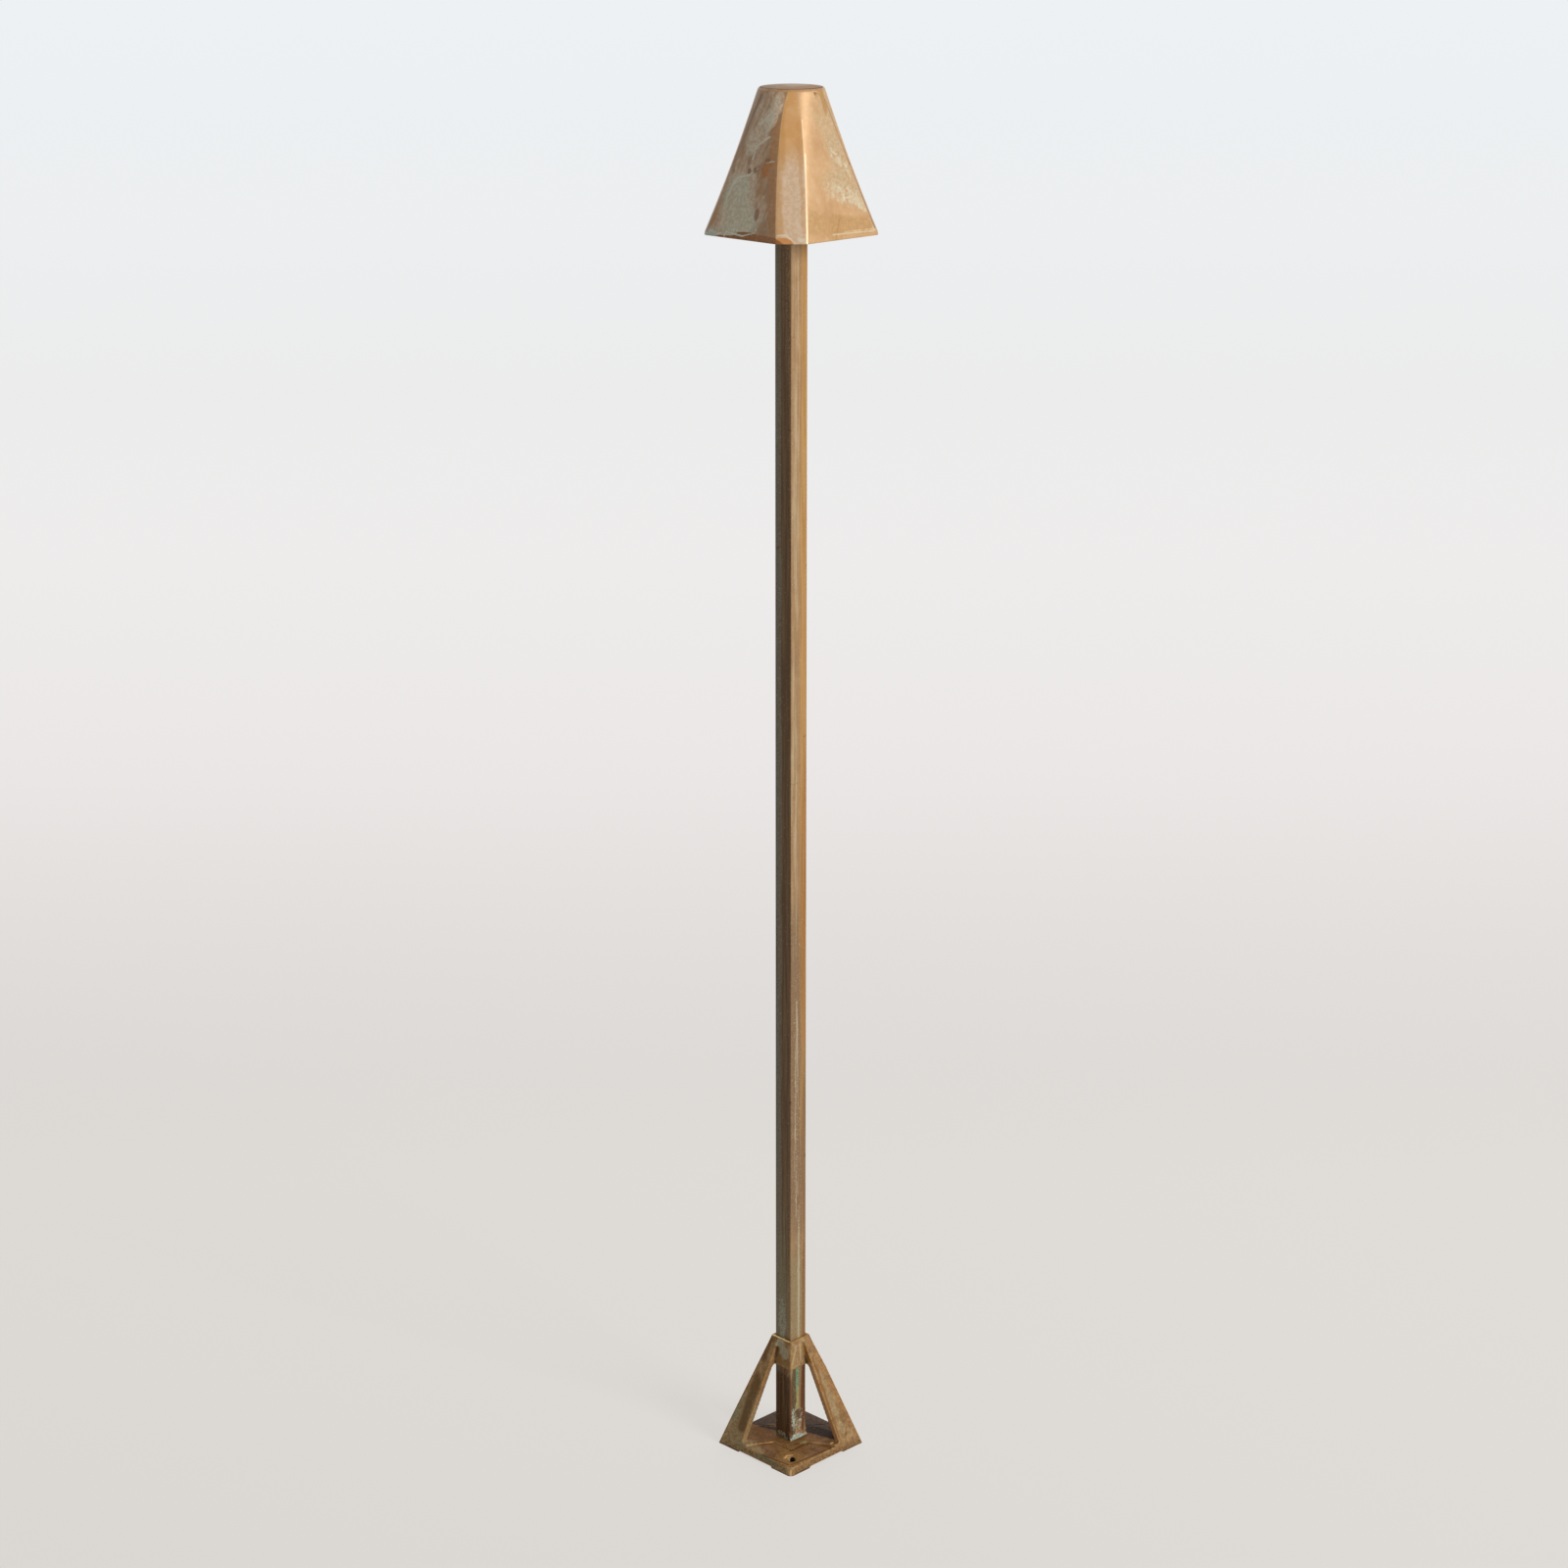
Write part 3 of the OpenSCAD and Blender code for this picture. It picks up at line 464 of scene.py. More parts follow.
def roundCorners(points):
    # Beyond a corner's centre, a point is drawn in to the corner's radius
    side = (foot["half"] - foot["slope"] * points[:, 2])[:, None]
    signs = np.sign(points[:, :2])
    radius = np.where(signs[:, :1] * signs[:, 1:] < 0, foot["openCorner"], foot["legCorner"])
    radius = radius * np.clip((foot["taperHigh"] - points[:, 2:]) / foot["taper"], foot["taperLeast"], 1)
    offset = np.clip(np.abs(points[:, :2]) - (side - radius), 0, None)
    length = np.linalg.norm(offset, axis=1)[:, None]
    inCorner = (offset > 0).all(1)[:, None] & (length > radius) & (points[:, 2:] < foot["cornerHigh"])
    drawn = signs * (side - radius + offset * radius / np.maximum(length, 1e-6))
    # The grid and the smoothing take the legs' edges back, so these are moved out first
    near = (np.abs(points[:, :2]).sum(1)[:, None] - 2 * side + foot["edgeWidth"]) / foot["edgeFade"]
    near = np.clip(near, 0, 1) * (signs[:, :1] * signs[:, 1:] > 0)
    fade = np.where(points[:, :1] + points[:, 1:2] < 0, foot["frontFade"], foot["rearFade"])
    fade = np.clip((foot["edgeHigh"] - points[:, 2:]) / fade, 0, 1)
    gain = signs * near ** 2 * foot["edgeGain"] / np.sqrt(2) * fade
    return np.hstack([np.where(inCorner, drawn, points[:, :2]) + gain, points[:, 2:]])


def makeFoot():
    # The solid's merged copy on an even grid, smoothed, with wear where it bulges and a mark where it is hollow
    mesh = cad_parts["base_casting"].data.copy()
    whole = bmesh.new()
    whole.from_mesh(mesh)
    bmesh.ops.remove_doubles(whole, verts=whole.verts, dist=1e-6)
    whole.to_mesh(mesh)
    whole.free()
    rough = addObject("footRough", mesh)
    even = rough.modifiers.new("evenGrid", "REMESH")
    even.mode, even.voxel_size = "VOXEL", foot["grid"] * mm
    grown = bpy.data.meshes.new_from_object(rough.evaluated_get(bpy.context.evaluated_depsgraph_get()))
    bpy.data.objects.remove(rough)
    points = roundCorners(readAll(grown.vertices, "co", 3) / mm)
    edges = readAll(grown.edges, "vertices", 2, np.int64)
    degree = np.bincount(edges.ravel(), minlength=len(points)).astype(float)
    points = spreadOver(points, edges, degree, foot["smoothPasses"] * 2, 0.5)
    low, high = (np.array(c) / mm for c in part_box("base_casting"))
    points = np.clip(points, low, high)
    grown.vertices.foreach_set("co", (points * mm).ravel())
    grown.update()
    normals = readAll(grown.vertex_normals, "vector", 3)
    flattened = spreadOver(points, edges, degree, foot["wearPasses"], 0.49)
    bulge = np.sum((points - flattened) * normals, 1) / foot["wearScale"]
    upward = (normals[:, 2] - foot["flatFrom"]) / foot["flatBlend"] * (points[:, 2] < foot["plateTop"])
    for name, value in (("wornEdge", bulge), ("grime", -bulge), ("upward", upward)):
        carry(grown, name, np.clip(value, 0, 1))
    grown.shade_smooth()
    return addObject("footSkin", grown)


# Stud threads: M4, a profile of 0.7 mm pitch that climbs once round for each pitch
thread = dict(x=15.0, radius=2.0, pitch=0.7, depth=0.36, low=926.0, high=1000.0, fade=0.6)


def makeThread(side):
    # radius = crest - depth * (0..1..0 sawtooth of height / pitch - turn), faded to a plain cone at both ends
    turn = np.linspace(0, 2 * np.pi, 29)[None, :-1]
    level = np.arange(thread["high"], thread["low"], -thread["pitch"] / 5)[:, None]
    phase = (level / thread["pitch"] - turn / (2 * np.pi)) % 1
    groove = np.clip(1.25 * (1 - np.abs(2 * phase - 1)) - 0.1, 0, 1)
    ends = np.minimum(level - thread["low"], thread["high"] - level) / thread["fade"]
    ends = np.clip(ends, 0, 1)
    radius = thread["radius"] - thread["depth"] * (1 - (1 - groove) * ends)
    return ringMesh("thread", polar(radius, turn, level) + np.array([side * thread["x"], 0, 0]))


# Jam nuts: hexagons whose corners are turned off at 30 degrees
jamNut = dict(x=15.0, flats=7.0, height=3.2, low=943.0, bore=2.0)


def makeNut(side):
    # radius = least of the hexagon's and a 30 degree cone from each end
    turn = np.linspace(0, 2 * np.pi, 97)[None, :-1]
    apart = (turn + np.pi / 6) % (np.pi / 3) - np.pi / 6
    hexagon = jamNut["flats"] / 2 / np.cos(apart)
    level = np.array([0, 0.02, 0.08, 0.15, 0.22, 0.3, 0.5, 1.6, 2.7, 2.9, 2.98, 3.05, 3.12, 3.18, 3.2])
    level = level[::-1, None]
    cone = jamNut["flats"] / 2 - 0.1 + np.sqrt(3) * np.minimum(level, jamNut["height"] - level)
    outer = polar(np.minimum(hexagon, cone), turn, level)
    inner = polar(jamNut["bore"] + 0 * turn, turn, np.array([0, 0.1, 3.1, 3.2])[:, None])
    return ringMesh("nut", np.concatenate([outer, inner]) + np.array([side * jamNut["x"], 0, jamNut["low"]]),
                    loop=True)


# Filament: a coil of tungsten wire between two supports
filament = dict(length=4.0, coil=0.7, turns=5, wire=0.15, low=961.3, coilLow=969.8, steps=120)


def tube(path, radius, sides=10):
    # A round section carried along a path: each ring lies across the path's direction
    along = np.gradient(path, axis=0)
    along /= np.linalg.norm(along, axis=1)[:, None]
    across = np.cross(along, np.array([0.31, 0.9, 0.23]))
    across /= np.linalg.norm(across, axis=1)[:, None]
    upward = np.cross(along, across)
    angle = np.linspace(0, 2 * np.pi, sides + 1)[:-1]
    around = across[:, None] * np.cos(angle)[None, :, None] - upward[:, None] * np.sin(angle)[None, :, None]
    return ringMesh("tube", path[:, None] + radius * around)


# Coats on the hood, with their patches and strokes in millimetres
onShaded = dict(start=-2.0, shaded=2.0)
onSunny = dict(start=-2.0, sunny=2.0)
onFacet = dict(start=-2.0, facet=2.0)
hoodCoats = [
    # grey-brown skin on the face that the sun seldom reaches, with darker runs
    coat(("#a37d59", "#b8946f"), 0.96, 0.3, 0.0, 0.5, by="cloud", shade="streak", start=-0.5, shaded=1.1),
    coat(("#ab7847", "#b88657"), 0.8, 0.5, 0.25, 0.8, ((11, -27.1, 988), (28.6, -47.5, 914.1), 7, 0.9),
         ((-22.6, -38.2, 947.7), (-28.5, -46.4, 917.8), 5, 0.6),
         ((10.5, -38.6, 946.5), (15.6, -46.4, 917.9), 3, 0.5),
         ((-11.6, -34.2, 962.5), (-13.7, -37.7, 949.6), 5, 0.5), by="cloud", **onShaded),
    coat("#7e573a", 0.75, 0.6, 0.3, 0.9, ((-5.6, -23.5, 1001.4), (-24.3, -38.5, 946.9), 2.0, 1.2),
         ((-24.3, -38.5, 946.9), (-33.9, -48.7, 909.7), 1.6, 1.2), by="streak", exact=True),
    # grey wash down that face, from the top corner to the rim
    coat(("#d6ba9a", "#ecd8bc"), 0.9, 0.9, 0.2, 1.2, ((3.3, -23.1, 1002.6), (-3.7, -30.9, 974.4), 11, 0.5),
         ((13.4, -23.1, 1002.6), (8.1, -27.9, 985.3), 6.5, 1.0),
         ((6.5, -27.2, 987.7), (-3.9, -32.6, 968.1), 9, 0.85),
         ((-3.6, -31.9, 970.6), (-2.5, -39.5, 942.9), 13, 0.6),
         ((-9.4, -43.9, 927.1), (-0.8, -46.8, 916.5), 20, 0.65),
         ((-7.1, -39.6, 942.5), (-9.1, -46, 919.5), 18, 0.5),
         ((-15.9, -35.5, 957.7), (-19, -39.9, 941.6), 7, 0.5), ((3, -39.4, 943.4), (7.1, -45.4, 921.6), 9, 0.5),
         ((-28.6, -48.2, 911.4), (-13.6, -47.1, 915.3), 9, 0.6),
         ((13.5, -41.6, 935.4), (20.1, -46.3, 918.3), 6.5, 0.55),
         ((11.3, -31.1, 973.6), (6, -35, 959.4), 4, 0.5), by="streak", dull=True, **onShaded),
    coat(("#cbc6aa", "#ded8be"), 0.85, 0.8, 0.25, 1.35, ((-10.5, -41.8, 934.7), (-0.2, -46.5, 917.8), 25, 0.95),
         ((-27.1, -47.8, 912.9), (-17, -47.6, 913.8), 7, 0.6), ((9.6, -23.9, 999.8), (4.9, -29.3, 980), 6, 0.8),
         ((-3.5, -30.2, 976.9), (-5.8, -34.4, 961.6), 6, 0.6),
         ((-5, -38.9, 945.2), (-6.3, -41.4, 936.3), 6, 0.6), by="cloud", dull=True, **onShaded),
    # pale lines along which the wash dried
    coat("#e6dfca", 0.85, 0.6, 0.3, 0.8, ((17, -35, 959.6), (7.6, -35.7, 957), 1.3, 1.2),
         ((7.6, -35.7, 957), (-1.8, -37.4, 950.6), 1.2, 1.2),
         ((-1.8, -37.4, 950.6), (-13.2, -38.2, 947.8), 1.1, 1.2),
         ((-13.2, -38.2, 947.8), (-16.4, -39.7, 942.4), 1.3, 1.2),
         ((13.4, -23.1, 1002.6), (6.9, -25.8, 992.8), 1.2, 1),
         ((6.9, -25.8, 992.8), (-0.5, -28.6, 982.8), 1.2, 1), ((9, -30.6, 975.3), (-0.2, -32.6, 968.4), 1.2, 1),
         ((-1.1, -32.6, 968.3), (-0.7, -34.8, 960.1), 1.2, 0.8),
         ((-8.8, -37.9, 948.7), (-17.6, -40.4, 939.8), 1.0, 0.9),
         ((-16.4, -39.7, 942.4), (-20.8, -43.8, 927.4), 1.0, 0.7),
         ((10.7, -26.8, 989.2), (4.7, -30, 977.5), 1.0, 0.8), by="streak", dull=True),
    # rust-brown spots
    coat(("#ad6a2d", "#bd7b39"), 0.9, 0.6, 0.3, 0.9, ((12.2, -36.6, 953.5), (5.6, 6, 6.6), 1.5),
         ((16.6, -35.5, 957.7), (3, 6, 3), 0.7)),
    coat("#8f5c3c", 0.75, 0.4, 0.3, 0.8, ((-2.9, -36.9, 952.7), (2.6, 5, 2.8), 1.4),
         ((2.4, -36.6, 953.7), (2.4, 5, 2.8), 1.4), ((12.5, -34.6, 960.8), (3.0, 4, 2.0), 1.2),
         ((11.5, -44.3, 925.8), (3.8, 5, 8), 0.8), exact=True),
    # beige clouds and golden runs on the sunny face
    coat(("#c0a37b", "#cfb690"), 0.9, 0.8, 0.15, 1.45, ((26.8, 6.8, 989.3), (38.1, 16.1, 948.2), 24, 0.85),
         ((32.4, 8.7, 969), (36.9, 9.7, 952.5), 10, 0.4), ((39, -4.6, 944.8), (42.4, 21.2, 932.5), 13, 0.7),
         by="cloud", dull=True, **onSunny),
    coat("#dfd0b0", 0.75, 1.1, 0.35, 1.1, ((40.2, 11.1, 940.6), (40.6, 16.3, 938.9), 1.2, 0.9),
         ((40.6, 16.3, 938.9), (41.5, 21.1, 935.7), 1.0, 0.8),
         ((39.7, 8.8, 942.4), (41.1, 8.4, 937.4), 0.9, 0.9),
         ((41.6, 8.8, 935.4), (44.1, 25.2, 926.4), 3.6, 0.7),
         ((44.5, 27.6, 924.9), (48.3, 31.5, 911.2), 1.5, 0.9),
         ((38.9, -4.9, 945.4), (39.7, -5.7, 942.3), 0.9, 1.0),
         ((22.9, 5.1, 1003.3), (23.8, 4.7, 1000.2), 1.0, 1.3),
         ((33, 4.3, 966.8), (34.5, 11.2, 961.2), 3.2, 0.6),
         ((35.6, 14.8, 957.2), (39.6, 19.3, 942.8), 1.1, 0.8), dull=True),
    coat(("#d4be99", "#e2d3b4"), 0.7, 1.1, 0.25, 1.25, ((40.1, -4.7, 941), (42.2, 19.5, 933.3), 9, 0.8),
         ((42.2, 17.6, 933.4), (44.3, 28.7, 925.5), 5, 0.8), ((33.7, 5.5, 964.2), (35.6, 12.9, 957.3), 7, 0.6),
         by="streak", dull=True, **onSunny),
    coat("#d08a5c", 0.5, 0.4, 0.4, 0.7, ((40.5, -7.1, 939.5), (1.9, 2.2, 1.9), 1.3),
         ((40.8, 4.9, 938.3), (1.4, 2, 1.4), 1.1), ((40.5, 11.7, 939.3), (1.3, 2, 1.6), 1),
         ((33.6, 8.4, 964.6), (1.8, 2, 1.8), 0.7), exact=True),
    coat(("#bd9059", "#c99c63"), 0.85, 0.4, 0.2, 1.1, ((46.2, -1.5, 918.6), (46.9, 25.2, 916.2), 10, 0.9),
         ((45.1, -28.3, 922.8), (46.7, -5.7, 917.1), 15, 0.8),
         ((26.6, -4.2, 990.1), (32.5, -4.5, 968.7), 4, 0.4), by="cloud", **onSunny),
    coat("#b98c4c", 0.85, 0.4, 0.3, 0.9, ((23.1, 5.8, 1002.6), (5, 5, 9), 1.2),
         ((25.4, 6.3, 994.4), (5, 4, 9), 0.8), by="cloud"),
    coat("#a47541", 0.35, 0.6, 0.3, 0.9, ((45.1, 0.6, 922.8), (48.9, -7, 908.9), 1.0, 1.1), exact=True),
    coat("#e3d0aa", 0.6, 0.7, 0.3, 0.9, ((47.9, -8.8, 912.6), (48.1, 29.7, 911.7), 0.9, 1.0),
         ((47.6, 2.7, 913.5), (47.8, 29.1, 913), 0.8, 0.7), exact=True, dull=True),
    coat("#99643a", 0.75, 0.4, 0.3, 0.9, ((24.2, 8.5, 998.7), (35.7, 20.3, 956.7), 1.9, 1.2),
         ((35.7, 20.3, 956.7), (47.4, 32.3, 914.3), 1.7, 1.1), exact=True),
    # the corner facets, a little darker; the one in front is golden, pinkish grey lower down
    coat(("#b0865a", "#c1996a"), 0.8, 0.4, 0.0, 0.6, by="cloud", shade="streak", start=-0.5, facet=1.1),
    coat(("#dba261", "#e2ae74"), 0.95, 0.2, 0.1, 0.9, ((26, -26, 955), (76, 76, 160), 1.6), shade="cloud",
         **onFacet),
    coat(("#dab996", "#e4c8aa"), 0.88, 0.3, 0.05, 1.35, ((33.1, -34.6, 935.2), (40.7, -41.3, 910.7), 48, 1.3),
         by="streak", **onFacet),
    coat("#cb9452", 0.8, 0.4, 0.0, 1.2, ((12.6, -21.4, 1000.5), (32.8, -46.2, 915.6), 5, 0.9), by="streak",
         **onFacet),
    coat("#cf9558", 0.6, 0.6, 0.1, 1.2, ((23.3, -16.5, 988.1), (44.6, -33.3, 917.4), 3, 0.8), by="streak",
         **onFacet),
    coat("#ce873f", 0.88, 0.3, 0.35, 0.7, ((37.1, -45, 910.4), (7.5, 7.5, 3.4), 1.4),
         ((40.4, -41.9, 910.1), (3, 3, 2), 0.8)),
    coat("#ecdcbd", 0.65, 0.5, 0.3, 0.9, ((33.3, -46.6, 914.1), (36.8, -42.9, 914.4), 0.8, 1.2),
         ((36.8, -42.9, 914.4), (39.7, -41.2, 912.6), 0.8, 1.2),
         ((39.7, -41.2, 912.6), (43.1, -40, 908.9), 0.8, 1.2), ((45.1, -36.5, 911.4), (3.4, 3.4, 2.4), 1),
         exact=True),
    # the ridge between facet and sunny face: a painted highlight along it
    coat("#ffe2b6", 0.85, 0.2, 0.3, 0.9, ((25.2, -15.2, 986.9), (34.2, -21.3, 957.3), 1.1, 0.7),
         ((32.2, -19.5, 964.7), (49, -34, 908.9), 1.2, 1.3), exact=True),
    # bare metal along the last strip above the rim, below a ragged chalk line
    coat(("#925824", "#a0682e"), 0.95, 0.5, 0.35, 0.55, ((-35.6, -49.8, 905.7), (-0.2, -49.2, 907.7), 4.6, 1.5),
         ((-0.2, -49.2, 907.7), (36.2, -49.5, 906.6), 8.5, 1.5), by="cloud", start=-0.4, exact=True,
         shaded=0.4),
    coat("#e6e8d8", 0.9, 1.1, 0.35, 0.9, ((-34, -48.6, 910), (-25.3, -48.7, 909.5), 1.1, 1.1),
         ((-25.3, -48.7, 909.5), (-18.2, -48.2, 911.4), 0.8, 1.0),
         ((-15.3, -48.7, 909.5), (-13.9, -47.8, 912.8), 0.8, 1.2),
         ((-12.8, -47.9, 912.5), (-5.1, -48.1, 911.7), 0.8, 1.0),
         ((-5.1, -48.1, 911.7), (1.6, -48.3, 911.1), 0.9, 1.2),
         ((1.6, -48.3, 911.1), (12, -47.5, 913.8), 0.8, 0.9), ((13.3, -46.9, 916.1), (1.0, 2, 1.0), 1.1),
         ((-11.6, -47.3, 914.9), (0.9, -47.6, 913.8), 0.7, 0.7), exact=True, dull=True),
    coat(("#b4baa4", "#dde2d1"), 0.8, 1.2, 0.35, 0.95, ((-35.3, -48.2, 911.5), (-24.7, -48.4, 910.8), 3.4, 1.0),
         dull=True),
    # the far sides: one grey-brown with runs like the side it adjoins, one golden with pale clouds
    coat(("#977350", "#af8a63"), 0.92, 0.4, 0.0, 0.6, by="cloud", shade="streak", start=-0.5, rear=1.1),
    coat(("#bcae90", "#d3cbb2"), 0.85, 1.1, 0.2, 1.3, ((-40, 6, 935), (26, 30, 34), 1.0),
         ((-30, -8, 972), (18, 14, 26), 0.8), by="streak", start=-2.0, dull=True, rear=2.0),
    coat(("#bda079", "#cdb48d"), 0.8, 0.9, 0.15, 1.3, ((8, 44, 930), (32, 20, 26), 0.9),
         ((-10, 34, 966), (16, 14, 26), 0.7), by="cloud", start=-0.2, dull=True, sunny=-1, rear=-1),
    coat("#d5c9aa", 0.7, 1.1, 0.4, 1.1, ((-40, 60, 911), (70, 30, 7), 0.9), ((-60, 0, 911), (30, 60, 6), 0.9),
         start=-0.1, dull=True, sunny=-1, shaded=-1),
    # the shoulder painted golden: rubbed metal with a painted highlight where its rounding catches the light;
    # then the flat top, and the thin dark line where it turns down
    coat(("#b98754", "#d0a06c"), 0.75, 0.5, 0.3, 1.0, by="cloud", shoulder=1.1),
    coat(("#bb875a", "#cfa67c"), 0.95, 0.3, 0.4, 0.8, ((0, 0, 1007.5), (60, 60, 3), 1.6), by="cloud",
         shade="cloud", exact=True, dull=True),
    coat(("#c0b394", "#d2c8aa"), 0.9, 0.6, 0.3, 1.1, ((-3.4, 7.6, 1006), (15, 15, 3), 1.1),
         ((-8.9, -8.3, 1006), (9, 9, 3), 0.9), by="cloud", dull=True),
    coat("#5f3f28", 0.88, 0.4, 0.3, 0.9, by="cloud", lip=1.35),
]
hoodBronze = weatheredBronze(
    "weatheredBronzeHood", streakTurn=(0, 0.25, 0), streakStretch=(1, 1, 5), streakSize=4, metallic=0.2,
    rough=0.42, bumpStrength=0.16, coats=hoodCoats, streakShare=0.2, speckShare=0.15,
    stops=[(0.15, "#c89a69"), (0.4, "#d1a472"), (0.6, "#d7ab79"), (0.85, "#dfb686")])

# The post's streaks run up and down it; the face away from the light is the greener one, and it is painted
# darker as painted shade over its patina
postCoats = [
    coat(("#896b4e", "#9d7f60"), 0.9, 0.5, 0.2, 0.8, ((8, 1, 300), (4, 30, 190), 1.3), by="streak"),
    coat(("#8f7b56", "#a8936c"), 0.75, 0.6, 0.3, 0.9, ((8, 0, 110), (3, 20, 90), 1.1), by="streak"),
    coat(("#bd8b4d", "#c7985b"), 0.85, 0.5, 0.2, 1.0, ((7.9, 10, 640), (5, 14.5, 900), 1.1), by="streak",
         shade="streak"),
    coat(("#a6743f", "#b37f48"), 0.85, 0.4, 0.25, 0.9, ((7.9, 10, 430), (5, 13.5, 190), 1.1), by="streak",
         shade="streak"),
    coat(("#8c6a49", "#9b7a55"), 0.85, 0.4, 0.25, 0.9, ((8, 9, 240), (5, 9, 120), 1.2), by="streak",
         shade="streak"),
    coat("#96693d", 0.85, 0.5, 0.3, 0.8, ((8, 6.4, 115), (2.5, 3.8, 95), 1.1), by="streak"),
    coat("#cdc1a1", 0.7, 0.7, 0.3, 1.0, ((8, 0.4, 130), (1.5, 1.8, 95), 1.2), dull=True),
    coat("#cbb795", 0.6, 1.0, 0.4, 1.0, ((8, -3.5, 640), (2, 5.5, 560), 0.6), by="streak", dull=True),
    coat("#c9b897", 0.75, 1.3, 0.6, 1.1, ((8, -2.5, 280), (2, 4.0, 190), 0.7), by="streak", dull=True),
    coat("#c4b393", 0.6, 1.4, 0.7, 1.1, ((8, -2, 280), (2, 5.0, 190), 0.6), dull=True),
    # painted shade: the face towards -Y painted darker than its patina alone, to deepen its shade
    coat(("#6c5135", "#7f6342"), 1.0, 0.3, 0.4, 0.7, ((0, -12, 500), (30, 6.0, 1400), 2.0), shade="streak",
         exact=True),
    coat(("#7f6549", "#96795a"), 0.9, 0.3, 0.4, 0.8, ((-12, 0, 500), (5.6, 30, 1400), 2.0), shade="streak",
         exact=True),
    coat(("#9b8a66", "#b5a784"), 0.8, 1.0, 0.3, 1.1, ((-2, 8, 420), (5, 3, 420), 1.0),
         ((-8, 3, 620), (3, 4, 500), 0.9), by="streak", dull=True),
    coat(("#807a64", "#979182"), 0.8, 0.7, 0.3, 1.1, ((-4.3, -8.2, 500), (4.4, 2.5, 1600), 1.15), by="streak",
         dull=True),
    coat(("#8d7f5f", "#a29474"), 0.8, 0.7, 0.3, 1.1, ((0.5, -8.2, 130), (7, 2.5, 110), 1.0), by="streak",
         dull=True),
    coat("#5e4833", 0.8, 0.5, 0.3, 0.8, ((-7.9, -7.9, 500), (1.2, 1.2, 1400), 1.3), by="streak", exact=True),
    coat("#b9b9a2", 0.8, 1.0, 0.5, 1.1, ((-1, -8, 104), (7, 2.5, 34), 0.9), dull=True),
    coat("#a9ab9a", 0.6, 1.2, 0.7, 1.2, ((-2.5, -8, 640), (2, 2, 300), 0.6), dull=True),
    # inside the foot: dark, with a green run, red-brown sides and a mint crust
    coat(("#5a432c", "#7f6546"), 0.94, 0.4, 0.4, 0.9, ((0, -9, 30), (30, 6.4, 44), 2.0), shade="streak",
         exact=True),
    coat(("#5f4a33", "#7c6c4c"), 0.92, 0.4, 0.3, 0.8, ((8, -4.4, 40), (2, 3.8, 42), 1.4), by="streak"),
    coat(("#6f452c", "#855337"), 0.92, 0.4, 0.3, 0.8, ((8, 4.8, 38), (2.5, 2.8, 42), 1.4),
         ((8, -8, 40), (2, 1.6, 36), 0.9), shade="streak"),
    coat("#523a2a", 0.6, 0.5, 0.3, 0.8, ((8, 7.4, 40), (1.2, 1.4, 40), 1.2)),
    coat("#9c9273", 0.8, 0.5, 0.3, 0.9, ((8, -1.8, 52), (2, 1.2, 24), 1.0), by="streak"),
    coat(("#5f8a68", "#8bb38f"), 0.9, 0.5, 0.3, 0.9, ((7.9, -0.9, 66.9), (7.9, -0.9, 45.8), 1.9, 1.4),
         ((7.9, -0.9, 45.8), (7.9, -0.4, 29.4), 1.2, 0.7), dull=True),
    coat(("#a89f5b", "#c9bd7f"), 0.85, 0.6, 0.35, 0.9, ((7.9, -0.6, 48.9), (7.9, -0.4, 34.2), 1.3, 1.4),
         ((7.9, -1.4, 36.3), (7.9, -3.5, 22.4), 2.0, 1.0), dull=True),
    coat(("#8b7a5e", "#c9c4ab"), 0.85, 1.3, 0.5, 0.85, ((8, -1, 24), (2.5, 8, 14), 0.9),
         ((-1, -8, 10), (9, 2, 4), 0.8), dull=True),
    coat("#c4cdb4", 0.9, 1.4, 0.6, 0.95, ((8, -5.2, 25), (2, 3, 15), 1.0), ((8, 1.5, 20), (2, 2.4, 12), 0.7),
         dull=True),
    coat("#62432e", 0.85, 1.5, 0.65, 1.0, ((8, -1, 24), (2.5, 8, 18), 0.6), by="cloud"),
    coat(("#98a892", "#d9e6d8"), 0.92, 1.1, 0.4, 0.85, ((8, -2, 8.2), (5, 10, 5.4), 1.1),
         ((8, 6, 7), (4, 6, 3.6), 0.8), dull=True),
    coat(("#77806a", "#a9b69e"), 0.85, 1.0, 0.4, 0.9, ((2, -8, 7.4), (8, 3, 4.4), 1.1),
         ((-6, -8, 8), (5, 3, 4), 0.7), dull=True),
]
postBronze = weatheredBronze(
    "weatheredBronzePost", bendBy=0.9, bendSize=9, cloudSize=11, streakStretch=(1, 1, 34), streakSize=1.7,
    streakShare=0.6, speckShare=0.25, speckSize=1.1, coats=postCoats, bumpDepth=0.12, shine=0.2, contrast=2.6,
    stops=[(0.15, "#a17c57"), (0.4, "#ad8962"), (0.6, "#b6936a"), (0.85, "#c4a47c")])
